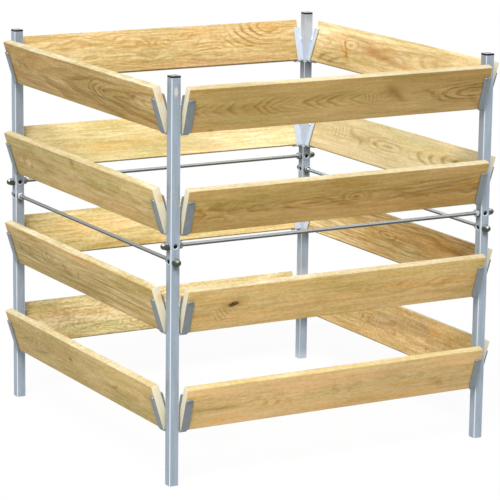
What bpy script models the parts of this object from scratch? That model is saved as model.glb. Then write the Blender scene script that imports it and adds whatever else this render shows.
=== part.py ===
# Slatted compost bin: four galvanised corner posts with welded board hooks, sixteen
# tilted boards that lift out of the hooks, and four tie rods at mid height.
# Metres, +Z up. The origin is on the ground, in the middle of the square footprint.
# The front side faces -Y. The other three sides are the front one turned by quarter turns.

from math import cos, pi, radians, sin, sqrt, tan

import bmesh
import bpy
from mathutils import Matrix, Vector

# Corner posts: square tube, open at the foot
POST_SPACING = 0.890  # between the centres of neighbouring posts
POST_HEIGHT = 1.000
POST_WIDTH = 0.025
POST_WALL = 0.002
POST_CORNER = 0.0025  # outer corner radius

# Push-in end caps
CAP_THICKNESS = 0.003
CAP_EDGE = 0.0007
CAP_PLUG_DEPTH = 0.014
CAP_PLUG_WALL = 0.0016
CAP_PLUG_CORNER = 0.0022
CAP_RIB_COUNT = 2
CAP_RIB_THICKNESS = 0.0012
CAP_RIB_REACH = 0.0009

# Boards
BOARD_WIDTH = 0.115
BOARD_THICKNESS = 0.020
BOARD_ROUNDING = 0.002  # on the four long edges
BOARD_TILT = radians(17)  # the top edge leans outwards
BOARD_STANDOFF = 0.002  # the bottom edge stands this far outside the post's face
BOARD_END_GAP = 0.0045  # between a board's end and the post
TIER_COUNT = 4
TIER_PITCH = 0.2425
TOP_MARGIN = 0.020  # post above the top board

# Hooks: one bent strip of sheet steel at each board end
HOOK_SHEET = 0.003
HOOK_WIDTH = 0.024  # outer leg, from the post's side face
INNER_LEG_WIDTH = 0.018  # inner leg and foot, from the same face
HOOK_BEND = 0.002  # inner bend radius
HOOK_END_ROUNDING = 0.008
OUTER_LEG_INSET = 0.004  # the outer leg stands this far off the post
INNER_LEG_BELOW_TOP = 0.023  # the inner leg ends this far below the board's top
OUTER_LEG_BELOW_TOP = 0.027
LIP_LENGTH = 0.005  # flared end of the outer leg
LIP_ANGLE = radians(28)
WELD_DEPTH = 0.001  # how far a hook is sunk into the tube's wall
BEND_STEPS = 3
LIP_STEPS = 2

# Tie rods, with a washer and a nut on each side of each post
ROD_DIAMETER = 0.010
ROD_TIER = 2  # the rods run below this tier, counted from 0 at the ground
UPPER_ROD_DROP = 0.027  # front and rear rods, below that tier's bottom edge
ROD_STEP = 0.038  # left and right rods run this much lower
ROD_BITE = 0.0115  # rod inside a cap nut
ROD_CHAMFER = 0.001
DRILL_PLAY = 0.0005  # radial play of a rod in a post's hole
NUT_ACROSS = 0.017  # across flats
NUT_HEIGHT = 0.008
NUT_FACE = 0.0161  # diameter of the flat ring left by the turned corners
NUT_CHAMFER = radians(30)
CAP_NUT_HEIGHT = 0.018
CAP_NUT_DOME = 0.0160  # diameter
CAP_NUT_CROWN = 0.0015  # solid metal above the bore
WASHER_DIAMETER = 0.020
WASHER_THICKNESS = 0.002
ROUND_STEPS = 12
NUT_STEPS = 12
DOME_STEPS = 4

# Clearances
TOUCH = 0.0003  # between pieces that rest on each other
SLOT_PLAY = 0.0004  # between a board's faces and the hook's legs

POST_HALF = POST_WIDTH / 2
POST_OFFSET = POST_SPACING / 2
BORE_RADIUS = ROD_DIAMETER / 2 + TOUCH
NUT_CORNER = NUT_ACROSS / sqrt(3)
BOARD_LENGTH = POST_SPACING - POST_WIDTH - 2 * BOARD_END_GAP
TOP_TIER_HEIGHT = (
    POST_HEIGHT - TOP_MARGIN - BOARD_WIDTH * cos(BOARD_TILT) - BOARD_THICKNESS * sin(BOARD_TILT)
)
BOARD_EDGE = POST_HALF + BOARD_STANDOFF  # bottom outer edge, out from the post's centre line
SIDES = ("front", "right", "rear", "left")
CORNERS = ("front_left", "front_right", "rear_right", "rear_left")


def tier_height(tier):
    """Height of a tier's bottom outer board edge."""
    return TOP_TIER_HEIGHT - (TIER_COUNT - 1 - tier) * TIER_PITCH


UPPER_ROD_HEIGHT = tier_height(ROD_TIER) - UPPER_ROD_DROP
LOWER_ROD_HEIGHT = UPPER_ROD_HEIGHT - ROD_STEP


# General helpers

def clear_scene():
    for obj in list(bpy.data.objects):
        bpy.data.objects.remove(obj, do_unlink=True)


def material(name, colour, roughness, metallic):
    made = bpy.data.materials.new(name)
    made.use_nodes = True
    shader = made.node_tree.nodes["Principled BSDF"]
    shader.inputs["Base Color"].default_value = (*colour, 1.0)
    shader.inputs["Roughness"].default_value = roughness
    shader.inputs["Metallic"].default_value = metallic
    return made


def collection(name):
    made = bpy.data.collections.new(name)
    bpy.context.scene.collection.children.link(made)
    return made


def helper(mesh, group):
    """A working object, kept out of renders."""
    made = bpy.data.objects.new(mesh.name, mesh)
    made.hide_render = True
    made.display_type = "WIRE"
    group.objects.link(made)
    return made


def mesh_from(bm, name):
    mesh = bpy.data.meshes.new(name)
    bmesh.ops.recalc_face_normals(bm, faces=bm.faces)
    bm.to_mesh(mesh)
    bm.free()
    return mesh


def baked(obj, name):
    """The object's mesh with its modifiers applied, shaded smooth with sharp edges kept."""
    bpy.context.view_layer.update()
    graph = bpy.context.evaluated_depsgraph_get()
    mesh = bpy.data.meshes.new_from_object(obj.evaluated_get(graph))
    mesh.name = name
    mesh.shade_smooth()
    mesh.set_sharp_from_angle(angle=radians(32))
    return mesh


def block(name, low, high):
    """A box between two opposite corners."""
    bm = bmesh.new()
    bmesh.ops.create_cube(bm, size=1)
    low, high = Vector(low), Vector(high)
    bmesh.ops.scale(bm, vec=high - low, verts=bm.verts)
    bmesh.ops.translate(bm, vec=(low + high) / 2, verts=bm.verts)
    return mesh_from(bm, name)


def prism(name, radius, low, high, sides, turn=0.0):
    """A cylinder or a regular prism about Z."""
    bm = bmesh.new()
    bmesh.ops.create_cone(
        bm, cap_ends=True, segments=sides, radius1=radius, radius2=radius, depth=high - low,
        matrix=Matrix.Translation((0, 0, (low + high) / 2)) @ Matrix.Rotation(turn, 4, "Z"),
    )
    return mesh_from(bm, name)


def turned(name, profile, steps, group):
    """A solid turned about Z from (radius, height) points that run from top to bottom."""
    mesh = bpy.data.meshes.new(name)
    points = [(radius, 0, height) for radius, height in profile]
    mesh.from_pydata(points, [(i, i + 1) for i in range(len(points) - 1)], [])
    made = helper(mesh, group)
    screw = made.modifiers.new("turn", "SCREW")
    screw.axis = "Z"
    screw.steps = steps
    screw.render_steps = steps
    screw.use_merge_vertices = True
    screw.merge_threshold = 0.00001
    solid = baked(made, name)
    bpy.data.objects.remove(made, do_unlink=True)
    return solid


def combined(name, base, steps):
    """Joins, cuts or intersects meshes in turn: steps holds (operation, mesh) pairs."""
    group = collection(name + "_tools")
    body = helper(base, group)
    tools = [helper(mesh, group) for _, mesh in steps]
    for (operation, _), tool in zip(steps, tools):
        change = body.modifiers.new(tool.name, "BOOLEAN")
        change.operation = operation
        change.object = tool
        change.solver = "EXACT"
    mesh = baked(body, name)
    for obj in [body] + tools:
        bpy.data.objects.remove(obj, do_unlink=True)
    bpy.data.collections.remove(group)
    return mesh


def square_tube(name, width, wall, corner, low, high, group):
    """An open square tube about Z: four walls, rounded at the corners, then thickened inwards."""
    bm = bmesh.new()
    bmesh.ops.create_cube(bm, size=1)
    bmesh.ops.scale(bm, vec=(width, width, high - low), verts=bm.verts)
    bmesh.ops.translate(bm, vec=(0, 0, (low + high) / 2), verts=bm.verts)
    ends = [face for face in bm.faces if abs(face.normal.z) > 0.5]
    bmesh.ops.delete(bm, geom=ends, context="FACES_ONLY")
    upright = [edge for edge in bm.edges if abs(edge.verts[0].co.z - edge.verts[1].co.z) > 0]
    bmesh.ops.bevel(bm, geom=upright, offset=corner, segments=3, profile=0.5, affect="EDGES")
    shell = helper(mesh_from(bm, name), group)
    thick = shell.modifiers.new("wall", "SOLIDIFY")
    thick.thickness = wall
    thick.offset = -1
    thick.use_even_offset = True
    solid = baked(shell, name)
    bpy.data.objects.remove(shell, do_unlink=True)
    return solid


# Hooks: a flat strip with rounded ends, bent along a path into a J round the board

def hook_path():
    """The strip's middle surface as (length, turn) pieces, from the inner leg's top."""
    middle = HOOK_BEND + HOOK_SHEET / 2
    bottom = -TOUCH - HOOK_SHEET / 2
    inner_leg = BOARD_WIDTH - INNER_LEG_BELOW_TOP - bottom - middle
    outer_leg = BOARD_WIDTH - OUTER_LEG_BELOW_TOP - bottom - middle - LIP_LENGTH
    floor = BOARD_THICKNESS + 2 * SLOT_PLAY + HOOK_SHEET - 2 * middle
    quarter = middle * pi / 2
    return [
        (inner_leg, 0),
        (quarter, pi / 2),
        (floor, 0),
        (quarter, pi / 2),
        (outer_leg, 0),
        (middle * LIP_ANGLE, -LIP_ANGLE),
        (LIP_LENGTH, 0),
    ]


def path_point(path, distance):
    """Where the bent strip is after that distance: (out, up) from the board's bottom outer edge."""
    at = Vector((-BOARD_THICKNESS - SLOT_PLAY - HOOK_SHEET / 2, BOARD_WIDTH - INNER_LEG_BELOW_TOP))
    heading = -pi / 2
    for length, turn in path:
        part = min(distance, length)
        turned_by = turn * part / length
        if turn:
            radius = length / turn
            at += Vector((sin(heading + turned_by) - sin(heading),
                          cos(heading) - cos(heading + turned_by))) * radius
        else:
            at += Vector((cos(heading), sin(heading))) * part
        heading += turned_by
        distance -= part
        if distance <= 0:
            break
    return at


def fold_lines(path):
    """Distances along the strip where it needs an edge across, so that it can bend there."""
    lines = []
    start = 0.0
    for length, turn in path:
        if turn:
            steps = BEND_STEPS if turn > 0 else LIP_STEPS
            lines += [start + length * step / steps for step in range(steps + 1)]
        start += length
    return lines


def hook_mesh(name, height, swapped, group):
    """A hook on the post's +X face, or on its +Y face when swapped, for one tier."""
    path = hook_path()
    total = sum(length for length, _ in path)
    strip = HOOK_WIDTH + WELD_DEPTH
    inner_strip = INNER_LEG_WIDTH + WELD_DEPTH
    cut_back = WELD_DEPTH + OUTER_LEG_INSET
    outer_start = sum(length for length, _ in path[:3])
    outer_end = outer_start + path[3][0]
    bm = bmesh.new()
    bmesh.ops.create_grid(bm, x_segments=1, y_segments=1, size=0.5)
    bmesh.ops.scale(bm, vec=(strip, total, 1), verts=bm.verts)
    bmesh.ops.translate(bm, vec=(strip / 2, total / 2, 0), verts=bm.verts)
    bmesh.ops.bevel(
        bm, geom=bm.verts[:], offset=HOOK_END_ROUNDING, segments=2, profile=0.5,
        affect="VERTICES",
    )
    for line in fold_lines(path):
        bmesh.ops.bisect_plane(
            bm, geom=bm.verts[:] + bm.edges[:] + bm.faces[:], dist=0.000001,
            plane_co=(0, line, 0), plane_no=(0, 1, 0),
        )
    for vert in bm.verts:
        across, along, _ = vert.co
        share = min(max((along - outer_start) / (outer_end - outer_start), 0), 1)
        near = cut_back * share
        far = inner_strip + (strip - inner_strip) * share
        across = near + across * (far - near) / strip
        out, up = path_point(path, along)
        side = POST_HALF - WELD_DEPTH + across
        away = -BOARD_EDGE - out * cos(BOARD_TILT) - up * sin(BOARD_TILT)
        level = height - out * sin(BOARD_TILT) + up * cos(BOARD_TILT)
        vert.co = (away, side, level) if swapped else (side, away, level)
    sheet = helper(mesh_from(bm, name), group)
    thick = sheet.modifiers.new("sheet", "SOLIDIFY")
    thick.thickness = HOOK_SHEET
    thick.offset = 0
    thick.use_even_offset = True
    solid = baked(sheet, name)
    bpy.data.objects.remove(sheet, do_unlink=True)
    return solid


def drill_meshes():
    """Cutters for the rod holes: each post is drilled both ways at both rod heights."""
    radius = ROD_DIAMETER / 2 + DRILL_PLAY
    reach = POST_WIDTH
    for height in (UPPER_ROD_HEIGHT, LOWER_ROD_HEIGHT):
        for axis in ("X", "Y"):
            drill = prism(f"drill_{axis}", radius, -reach, reach, ROUND_STEPS)
            drill.transform(Matrix.Translation((0, 0, height)) @ Matrix.Rotation(pi / 2, 4, axis))
            yield drill


def post_mesh(group):
    tube = square_tube("tube", POST_WIDTH, POST_WALL, POST_CORNER, 0, POST_HEIGHT, group)
    hooks = [
        ("UNION", hook_mesh(f"hook_{tier}_{swapped}", tier_height(tier), swapped, group))
        for tier in range(TIER_COUNT)
        for swapped in (False, True)
    ]
    drills = [("DIFFERENCE", drill) for drill in drill_meshes()]
    return combined("post", tube, hooks + drills)


# End cap: a flat head with a ribbed hollow plug below it

def cap_mesh(group):
    bm = bmesh.new()
    bmesh.ops.create_cube(bm, size=1)
    bmesh.ops.scale(bm, vec=(POST_WIDTH, POST_WIDTH, CAP_THICKNESS), verts=bm.verts)
    bmesh.ops.translate(bm, vec=(0, 0, CAP_THICKNESS / 2), verts=bm.verts)
    upright = [edge for edge in bm.edges if abs(edge.verts[0].co.z - edge.verts[1].co.z) > 0]
    bmesh.ops.bevel(bm, geom=upright, offset=POST_CORNER, segments=3, profile=0.5, affect="EDGES")
    rim = [edge for edge in bm.edges if min(vert.co.z for vert in edge.verts) > CAP_THICKNESS / 2]
    bmesh.ops.bevel(bm, geom=rim, offset=CAP_EDGE, segments=2, profile=0.5, affect="EDGES")
    head = mesh_from(bm, "cap_head")
    bore = POST_WIDTH - 2 * POST_WALL - 2 * TOUCH
    plug = bore - 2 * CAP_RIB_REACH
    sunk = CAP_THICKNESS / 2
    parts = [
        square_tube("plug", plug, CAP_PLUG_WALL, CAP_PLUG_CORNER, -CAP_PLUG_DEPTH, sunk, group)
    ]
    for rib in range(CAP_RIB_COUNT):
        level = -CAP_PLUG_DEPTH * (rib + 1) / (CAP_RIB_COUNT + 1)
        parts.append(square_tube(
            "rib", bore, CAP_RIB_REACH + CAP_PLUG_WALL / 2, CAP_RIB_REACH + CAP_PLUG_CORNER,
            level - CAP_RIB_THICKNESS / 2, level + CAP_RIB_THICKNESS / 2, group,
        ))
    return combined("cap", head, [("UNION", part) for part in parts])


# Board: planed timber, square ends and softened long edges. Its own frame has X along it,
# Y inwards and Z up its face, with the origin on the middle of the bottom outer edge.

def board_mesh():
    bm = bmesh.new()
    bmesh.ops.create_cube(bm, size=1)
    bmesh.ops.scale(bm, vec=(BOARD_LENGTH, BOARD_THICKNESS, BOARD_WIDTH), verts=bm.verts)
    bmesh.ops.translate(bm, vec=(0, BOARD_THICKNESS / 2, BOARD_WIDTH / 2), verts=bm.verts)
    long_edges = [edge for edge in bm.edges if abs(edge.verts[0].co.x - edge.verts[1].co.x) > 0]
    bmesh.ops.bevel(
        bm, geom=long_edges, offset=BOARD_ROUNDING, segments=2, profile=0.5, affect="EDGES"
    )
    return mesh_from(bm, "board")


# Rod and fasteners. Each fastener's own frame has Z away from the post, from its seat.

def rod_mesh(group):
    half = rod_half_length()
    radius = ROD_DIAMETER / 2
    profile = [
        (0, half),
        (radius - ROD_CHAMFER, half),
        (radius, half - ROD_CHAMFER),
        (radius, -half + ROD_CHAMFER),
        (radius - ROD_CHAMFER, -half),
        (0, -half),
    ]
    return turned("rod", profile, ROUND_STEPS, group)


def washer_seat():
    """Distance from a post's centre to a washer's back."""
    return POST_HALF + TOUCH


def nut_seat():
    """Distance from a post's centre to a nut's back."""
    return washer_seat() + WASHER_THICKNESS + TOUCH


def rod_half_length():
    return POST_OFFSET + nut_seat() + ROD_BITE


def chamfered_hexagon(name, group):
    """A hexagonal body with its corners turned off at both ends."""
    hexagon = prism(name + "_hexagon", NUT_CORNER, 0, NUT_HEIGHT, 6)
    face = NUT_FACE / 2
    widest = NUT_ACROSS * 0.7
    drop = (widest - face) * tan(NUT_CHAMFER)
    profile = [
        (0, NUT_HEIGHT),
        (face, NUT_HEIGHT),
        (widest, NUT_HEIGHT - drop),
        (widest, drop),
        (face, 0),
        (0, 0),
    ]
    return combined(name, hexagon, [("INTERSECT", turned(name + "_round", profile, NUT_STEPS, group))])


def nut_mesh(group):
    body = chamfered_hexagon("nut_body", group)
    bore = prism("nut_bore", BORE_RADIUS, -NUT_HEIGHT, 2 * NUT_HEIGHT, ROUND_STEPS)
    return combined("nut", body, [("DIFFERENCE", bore)])


def cap_nut_mesh(group):
    body = chamfered_hexagon("cap_nut_body", group)
    radius = CAP_NUT_DOME / 2
    shoulder = CAP_NUT_HEIGHT - radius
    angles = [pi / 2 * step / DOME_STEPS for step in range(DOME_STEPS + 1)]
    dome = [(radius * sin(angle), shoulder + radius * cos(angle)) for angle in angles]
    dome += [(radius, NUT_HEIGHT / 2), (0, NUT_HEIGHT / 2)]
    bore_top = CAP_NUT_HEIGHT - CAP_NUT_CROWN - BORE_RADIUS
    bore = [
        (0, CAP_NUT_HEIGHT - CAP_NUT_CROWN),
        (BORE_RADIUS, bore_top),
        (BORE_RADIUS, -NUT_HEIGHT),
        (0, -NUT_HEIGHT),
    ]
    return combined("cap_nut", body, [
        ("UNION", turned("cap_nut_dome", dome, ROUND_STEPS, group)),
        ("DIFFERENCE", turned("cap_nut_bore", bore, ROUND_STEPS, group)),
    ])


def washer_mesh():
    disc = prism("washer_disc", WASHER_DIAMETER / 2, 0, WASHER_THICKNESS, ROUND_STEPS)
    bore = prism(
        "washer_bore", BORE_RADIUS, -WASHER_THICKNESS, 2 * WASHER_THICKNESS, ROUND_STEPS
    )
    return combined("washer", disc, [("DIFFERENCE", bore)])


# Assembly

def placed(name, mesh, group, side, location, rotation=(0, 0, 0)):
    """A node of the bin, held by its side's empty."""
    made = bpy.data.objects.new(name, mesh)
    made.parent = side
    made.location = location
    made.rotation_euler = rotation
    group.objects.link(made)
    return made


def build_side(index, meshes, group):
    """One side of the bin: the post at its left end, its boards, and its tie rod."""
    name = SIDES[index]
    corner = CORNERS[index]
    side = bpy.data.objects.new("side_" + name, None)
    side.rotation_euler = (0, 0, index * pi / 2)
    group.objects.link(side)
    at_post = (-POST_OFFSET, -POST_OFFSET)
    placed("post_" + corner, meshes["post"], group, side, (*at_post, 0))
    placed("cap_" + corner, meshes["cap"], group, side, (*at_post, POST_HEIGHT + TOUCH))
    for tier in range(TIER_COUNT):
        bottom_edge = (0, -POST_OFFSET - BOARD_EDGE, tier_height(tier))
        placed(
            f"board_{name}_{tier + 1}", meshes["board"], group, side, bottom_edge,
            (BOARD_TILT, 0, 0),
        )
    height = LOWER_ROD_HEIGHT if index % 2 else UPPER_ROD_HEIGHT
    placed("rod_" + name, meshes["rod"], group, side, (0, -POST_OFFSET, height), (0, pi / 2, 0))
    for end, sign in (("a", -1), ("b", 1)):
        for place, outward in (("outer", sign), ("inner", -sign)):
            turn = (0, outward * pi / 2, 0)
            post_centre = sign * POST_OFFSET
            washer_at = (post_centre + outward * washer_seat(), -POST_OFFSET, height)
            nut_at = (post_centre + outward * nut_seat(), -POST_OFFSET, height)
            kind = "cap_nut" if place == "outer" else "nut"
            placed(f"washer_{place}_{name}_{end}", meshes["washer"], group, side, washer_at, turn)
            placed(f"{kind}_{name}_{end}", meshes[kind], group, side, nut_at, turn)


def main():
    clear_scene()
    bin_parts = collection("compost_bin")
    cutters = collection("cutters")
    meshes = {
        "post": post_mesh(cutters),
        "cap": cap_mesh(cutters),
        "board": board_mesh(),
        "rod": rod_mesh(cutters),
        "nut": nut_mesh(cutters),
        "cap_nut": cap_nut_mesh(cutters),
        "washer": washer_mesh(),
    }
    finishes = {
        "post": material("galvanised_steel", (0.56, 0.60, 0.64), 0.42, 0.75),
        "cap": material("black_plastic", (0.02, 0.02, 0.022), 0.45, 0.0),
        "board": material("planed_pine", (0.66, 0.47, 0.24), 0.68, 0.0),
        "rod": material("zinc_plated_rod", (0.60, 0.62, 0.63), 0.36, 0.85),
        "nut": material("zinc_plated_nut", (0.62, 0.63, 0.62), 0.34, 0.85),
        "cap_nut": material("zinc_plated_cap_nut", (0.64, 0.65, 0.64), 0.30, 0.85),
        "washer": material("zinc_plated_washer", (0.58, 0.59, 0.58), 0.40, 0.85),
    }
    for kind, mesh in meshes.items():
        mesh.materials.clear()
        mesh.materials.append(finishes[kind])
    for index in range(len(SIDES)):
        build_side(index, meshes, bin_parts)
    bpy.context.view_layer.update()


main()
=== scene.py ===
# Looks of the slatted compost bin: planed pine boards standing in the hooks of
# galvanised posts, which zinc plated rods tie together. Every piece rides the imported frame.
import math
import random

import bmesh
import bpy
from mathutils import Matrix, Vector


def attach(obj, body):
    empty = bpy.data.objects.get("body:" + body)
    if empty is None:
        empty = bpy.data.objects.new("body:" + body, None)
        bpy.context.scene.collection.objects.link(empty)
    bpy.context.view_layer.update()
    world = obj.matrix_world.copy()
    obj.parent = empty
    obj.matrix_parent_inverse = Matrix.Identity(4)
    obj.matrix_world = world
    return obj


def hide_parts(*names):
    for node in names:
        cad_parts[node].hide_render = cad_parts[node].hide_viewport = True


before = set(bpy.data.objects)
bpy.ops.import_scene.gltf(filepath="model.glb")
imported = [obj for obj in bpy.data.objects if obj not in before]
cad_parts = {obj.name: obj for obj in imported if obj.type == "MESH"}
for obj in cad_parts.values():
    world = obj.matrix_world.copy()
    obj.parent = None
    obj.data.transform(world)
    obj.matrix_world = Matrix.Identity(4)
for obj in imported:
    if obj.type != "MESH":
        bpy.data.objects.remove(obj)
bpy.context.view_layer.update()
print("frame loaded:", len(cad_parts), "nodes")

# Camera
cameraLook = {
    "place": (-3.187, -5.643, 1.894),
    "heading": 29.597,  # degrees from +Y towards +X
    "downTilt": 12.55,
    "roll": 0.741,
    "lens": 182.2,
    "sensor": 36,
    "farthest": 50,
}


def addCamera(look):
    heading, down, roll = (math.radians(look[key]) for key in ("heading", "downTilt", "roll"))
    flat = math.cos(down)
    ahead = Vector((math.sin(heading) * flat, math.cos(heading) * flat, -math.sin(down)))
    level = Vector((math.cos(heading), -math.sin(heading), 0))
    above = level.cross(ahead)
    right = level * math.cos(roll) + above * math.sin(roll)
    up = above * math.cos(roll) - level * math.sin(roll)
    data = bpy.data.cameras.new("camera")
    data.lens = look["lens"]
    data.sensor_width = look["sensor"]
    data.clip_end = look["farthest"]
    camera = bpy.data.objects.new("camera", data)
    turn = Matrix((right, up, -ahead)).transposed().to_4x4()
    camera.matrix_world = Matrix.Translation(look["place"]) @ turn
    bpy.context.scene.collection.objects.link(camera)
    bpy.context.scene.camera = camera


addCamera(cameraLook)
print("camera set")

# Sizes that several pieces share, in metres
layout = {
    "spacing": 0.890,  # between post centres
    "tilt": math.radians(17),
    "standoff": 0.002,  # a board's bottom outer edge, out from the post's face
    "boardGap": 0.0045,  # between a board's end and the post
    "tiers": 4,
    "tierPitch": 0.2425,
    "topMargin": 0.020,
    "rodDrop": 0.027,  # upper rods, below the third tier's bottom edge
    "rodStep": 0.038,
    "touch": 0.0003,  # gap between pieces that touch
    "sideNames": ("front", "right", "rear", "left"),
    "cornerNames": ("front_left", "front_right", "rear_right", "rear_left"),
}
post = {
    "height": 1.000,
    "width": 0.025,
    "wall": 0.002,
    "corner": 0.0025,
    "holeRadius": 0.0055,
    "holeMouth": 0.0006,  # deburred edge of each hole
    "holeSteps": 40,
}
board = {
    "width": 0.115,
    "thickness": 0.020,
    "rounding": 0.0024,
    "endArris": 0.0005,
}
board["length"] = layout["spacing"] - post["width"] - 2 * layout["boardGap"]
reach = layout["spacing"] / 2
postHalf = post["width"] / 2
tiltCos, tiltSin = math.cos(layout["tilt"]), math.sin(layout["tilt"])
topTier = post["height"] - layout["topMargin"] - board["width"] * tiltCos - board["thickness"] * tiltSin
tierHeights = [topTier - step * layout["tierPitch"] for step in reversed(range(layout["tiers"]))]
upperRod = tierHeights[2] - layout["rodDrop"]
lowerRod = upperRod - layout["rodStep"]
sideTurns = [Matrix.Rotation(index * math.pi / 2, 4, "Z") for index in range(len(layout["sideNames"]))]


# Helpers for meshes and pieces
def meshFrom(bm, name, smoothAngle=32):
    bmesh.ops.recalc_face_normals(bm, faces=bm.faces)
    mesh = bpy.data.meshes.new(name)
    bm.to_mesh(mesh)
    bm.free()
    return shaded(mesh, smoothAngle)


def shaded(mesh, smoothAngle=32):
    mesh.shade_smooth()
    mesh.set_sharp_from_angle(angle=math.radians(smoothAngle))
    return mesh


def shaped(mesh, *steps):  # applies modifiers, each given as (kind, settings)
    name = mesh.name
    holder = bpy.data.objects.new("shaping", mesh)
    bpy.context.scene.collection.objects.link(holder)
    for kind, settings in steps:
        step = holder.modifiers.new(kind.lower(), kind)
        for key, value in settings.items():
            setattr(step, key, value)
    bpy.context.view_layer.update()
    graph = bpy.context.evaluated_depsgraph_get()
    result = bpy.data.meshes.new_from_object(holder.evaluated_get(graph))
    result.name = name
    bpy.data.objects.remove(holder, do_unlink=True)
    return shaded(result)


def withSlot(mesh):  # one empty slot, which each piece fills with its own finish
    mesh.materials.clear()
    mesh.materials.append(None)
    return mesh


def boxIn(bm, length, depth, height, low=0.0):  # a box round the Z axis, standing at a level
    bmesh.ops.create_cube(bm, size=1)
    bmesh.ops.scale(bm, vec=(length, depth, height), verts=bm.verts)
    bmesh.ops.translate(bm, vec=(0, 0, low + height / 2), verts=bm.verts)


def span(edge, axis):
    return abs(edge.verts[0].co[axis] - edge.verts[1].co[axis])


def uprightEdges(bm):
    return [edge for edge in bm.edges if span(edge, 2) > 0]


def soften(bm, edges, offset, segments):
    bmesh.ops.bevel(bm, geom=edges, offset=offset, segments=segments, profile=0.5, affect="EDGES")


def addPiece(name, mesh, material, place, body, node):
    made = bpy.data.objects.new(name, mesh)
    made.matrix_world = place
    bpy.context.scene.collection.objects.link(made)
    made.material_slots[0].link = "OBJECT"
    made.material_slots[0].material = material
    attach(made, body)
    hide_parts(node)


def loftMesh(name, rings, closed=False, smoothAngle=32):  # rings of points with equal counts
    bm = bmesh.new()
    rows = [[bm.verts.new(point) for point in ring] for ring in rings]
    joinRows(bm, rows + [rows[0]] if closed else rows)
    if not closed:
        bm.faces.new(rows[0])
        bm.faces.new(rows[-1])
    bmesh.ops.remove_doubles(bm, verts=bm.verts, dist=1e-7)
    return meshFrom(bm, name, smoothAngle)


def joinRows(bm, rows):  # a band of faces between each row of points and the next
    count = len(rows[0])
    for first, second in zip(rows, rows[1:]):
        for column in range(count):
            following = (column + 1) % count
            bm.faces.new((first[column], first[following], second[following], second[column]))


def ringPoints(radius, height, columns):  # radius and height may be functions of the angle
    points = []
    for column in range(columns):
        angle = 2 * math.pi * column / columns
        far = radius(angle) if callable(radius) else radius
        level = height(angle) if callable(height) else height
        points.append((far * math.cos(angle), far * math.sin(angle), level))
    return points


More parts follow.
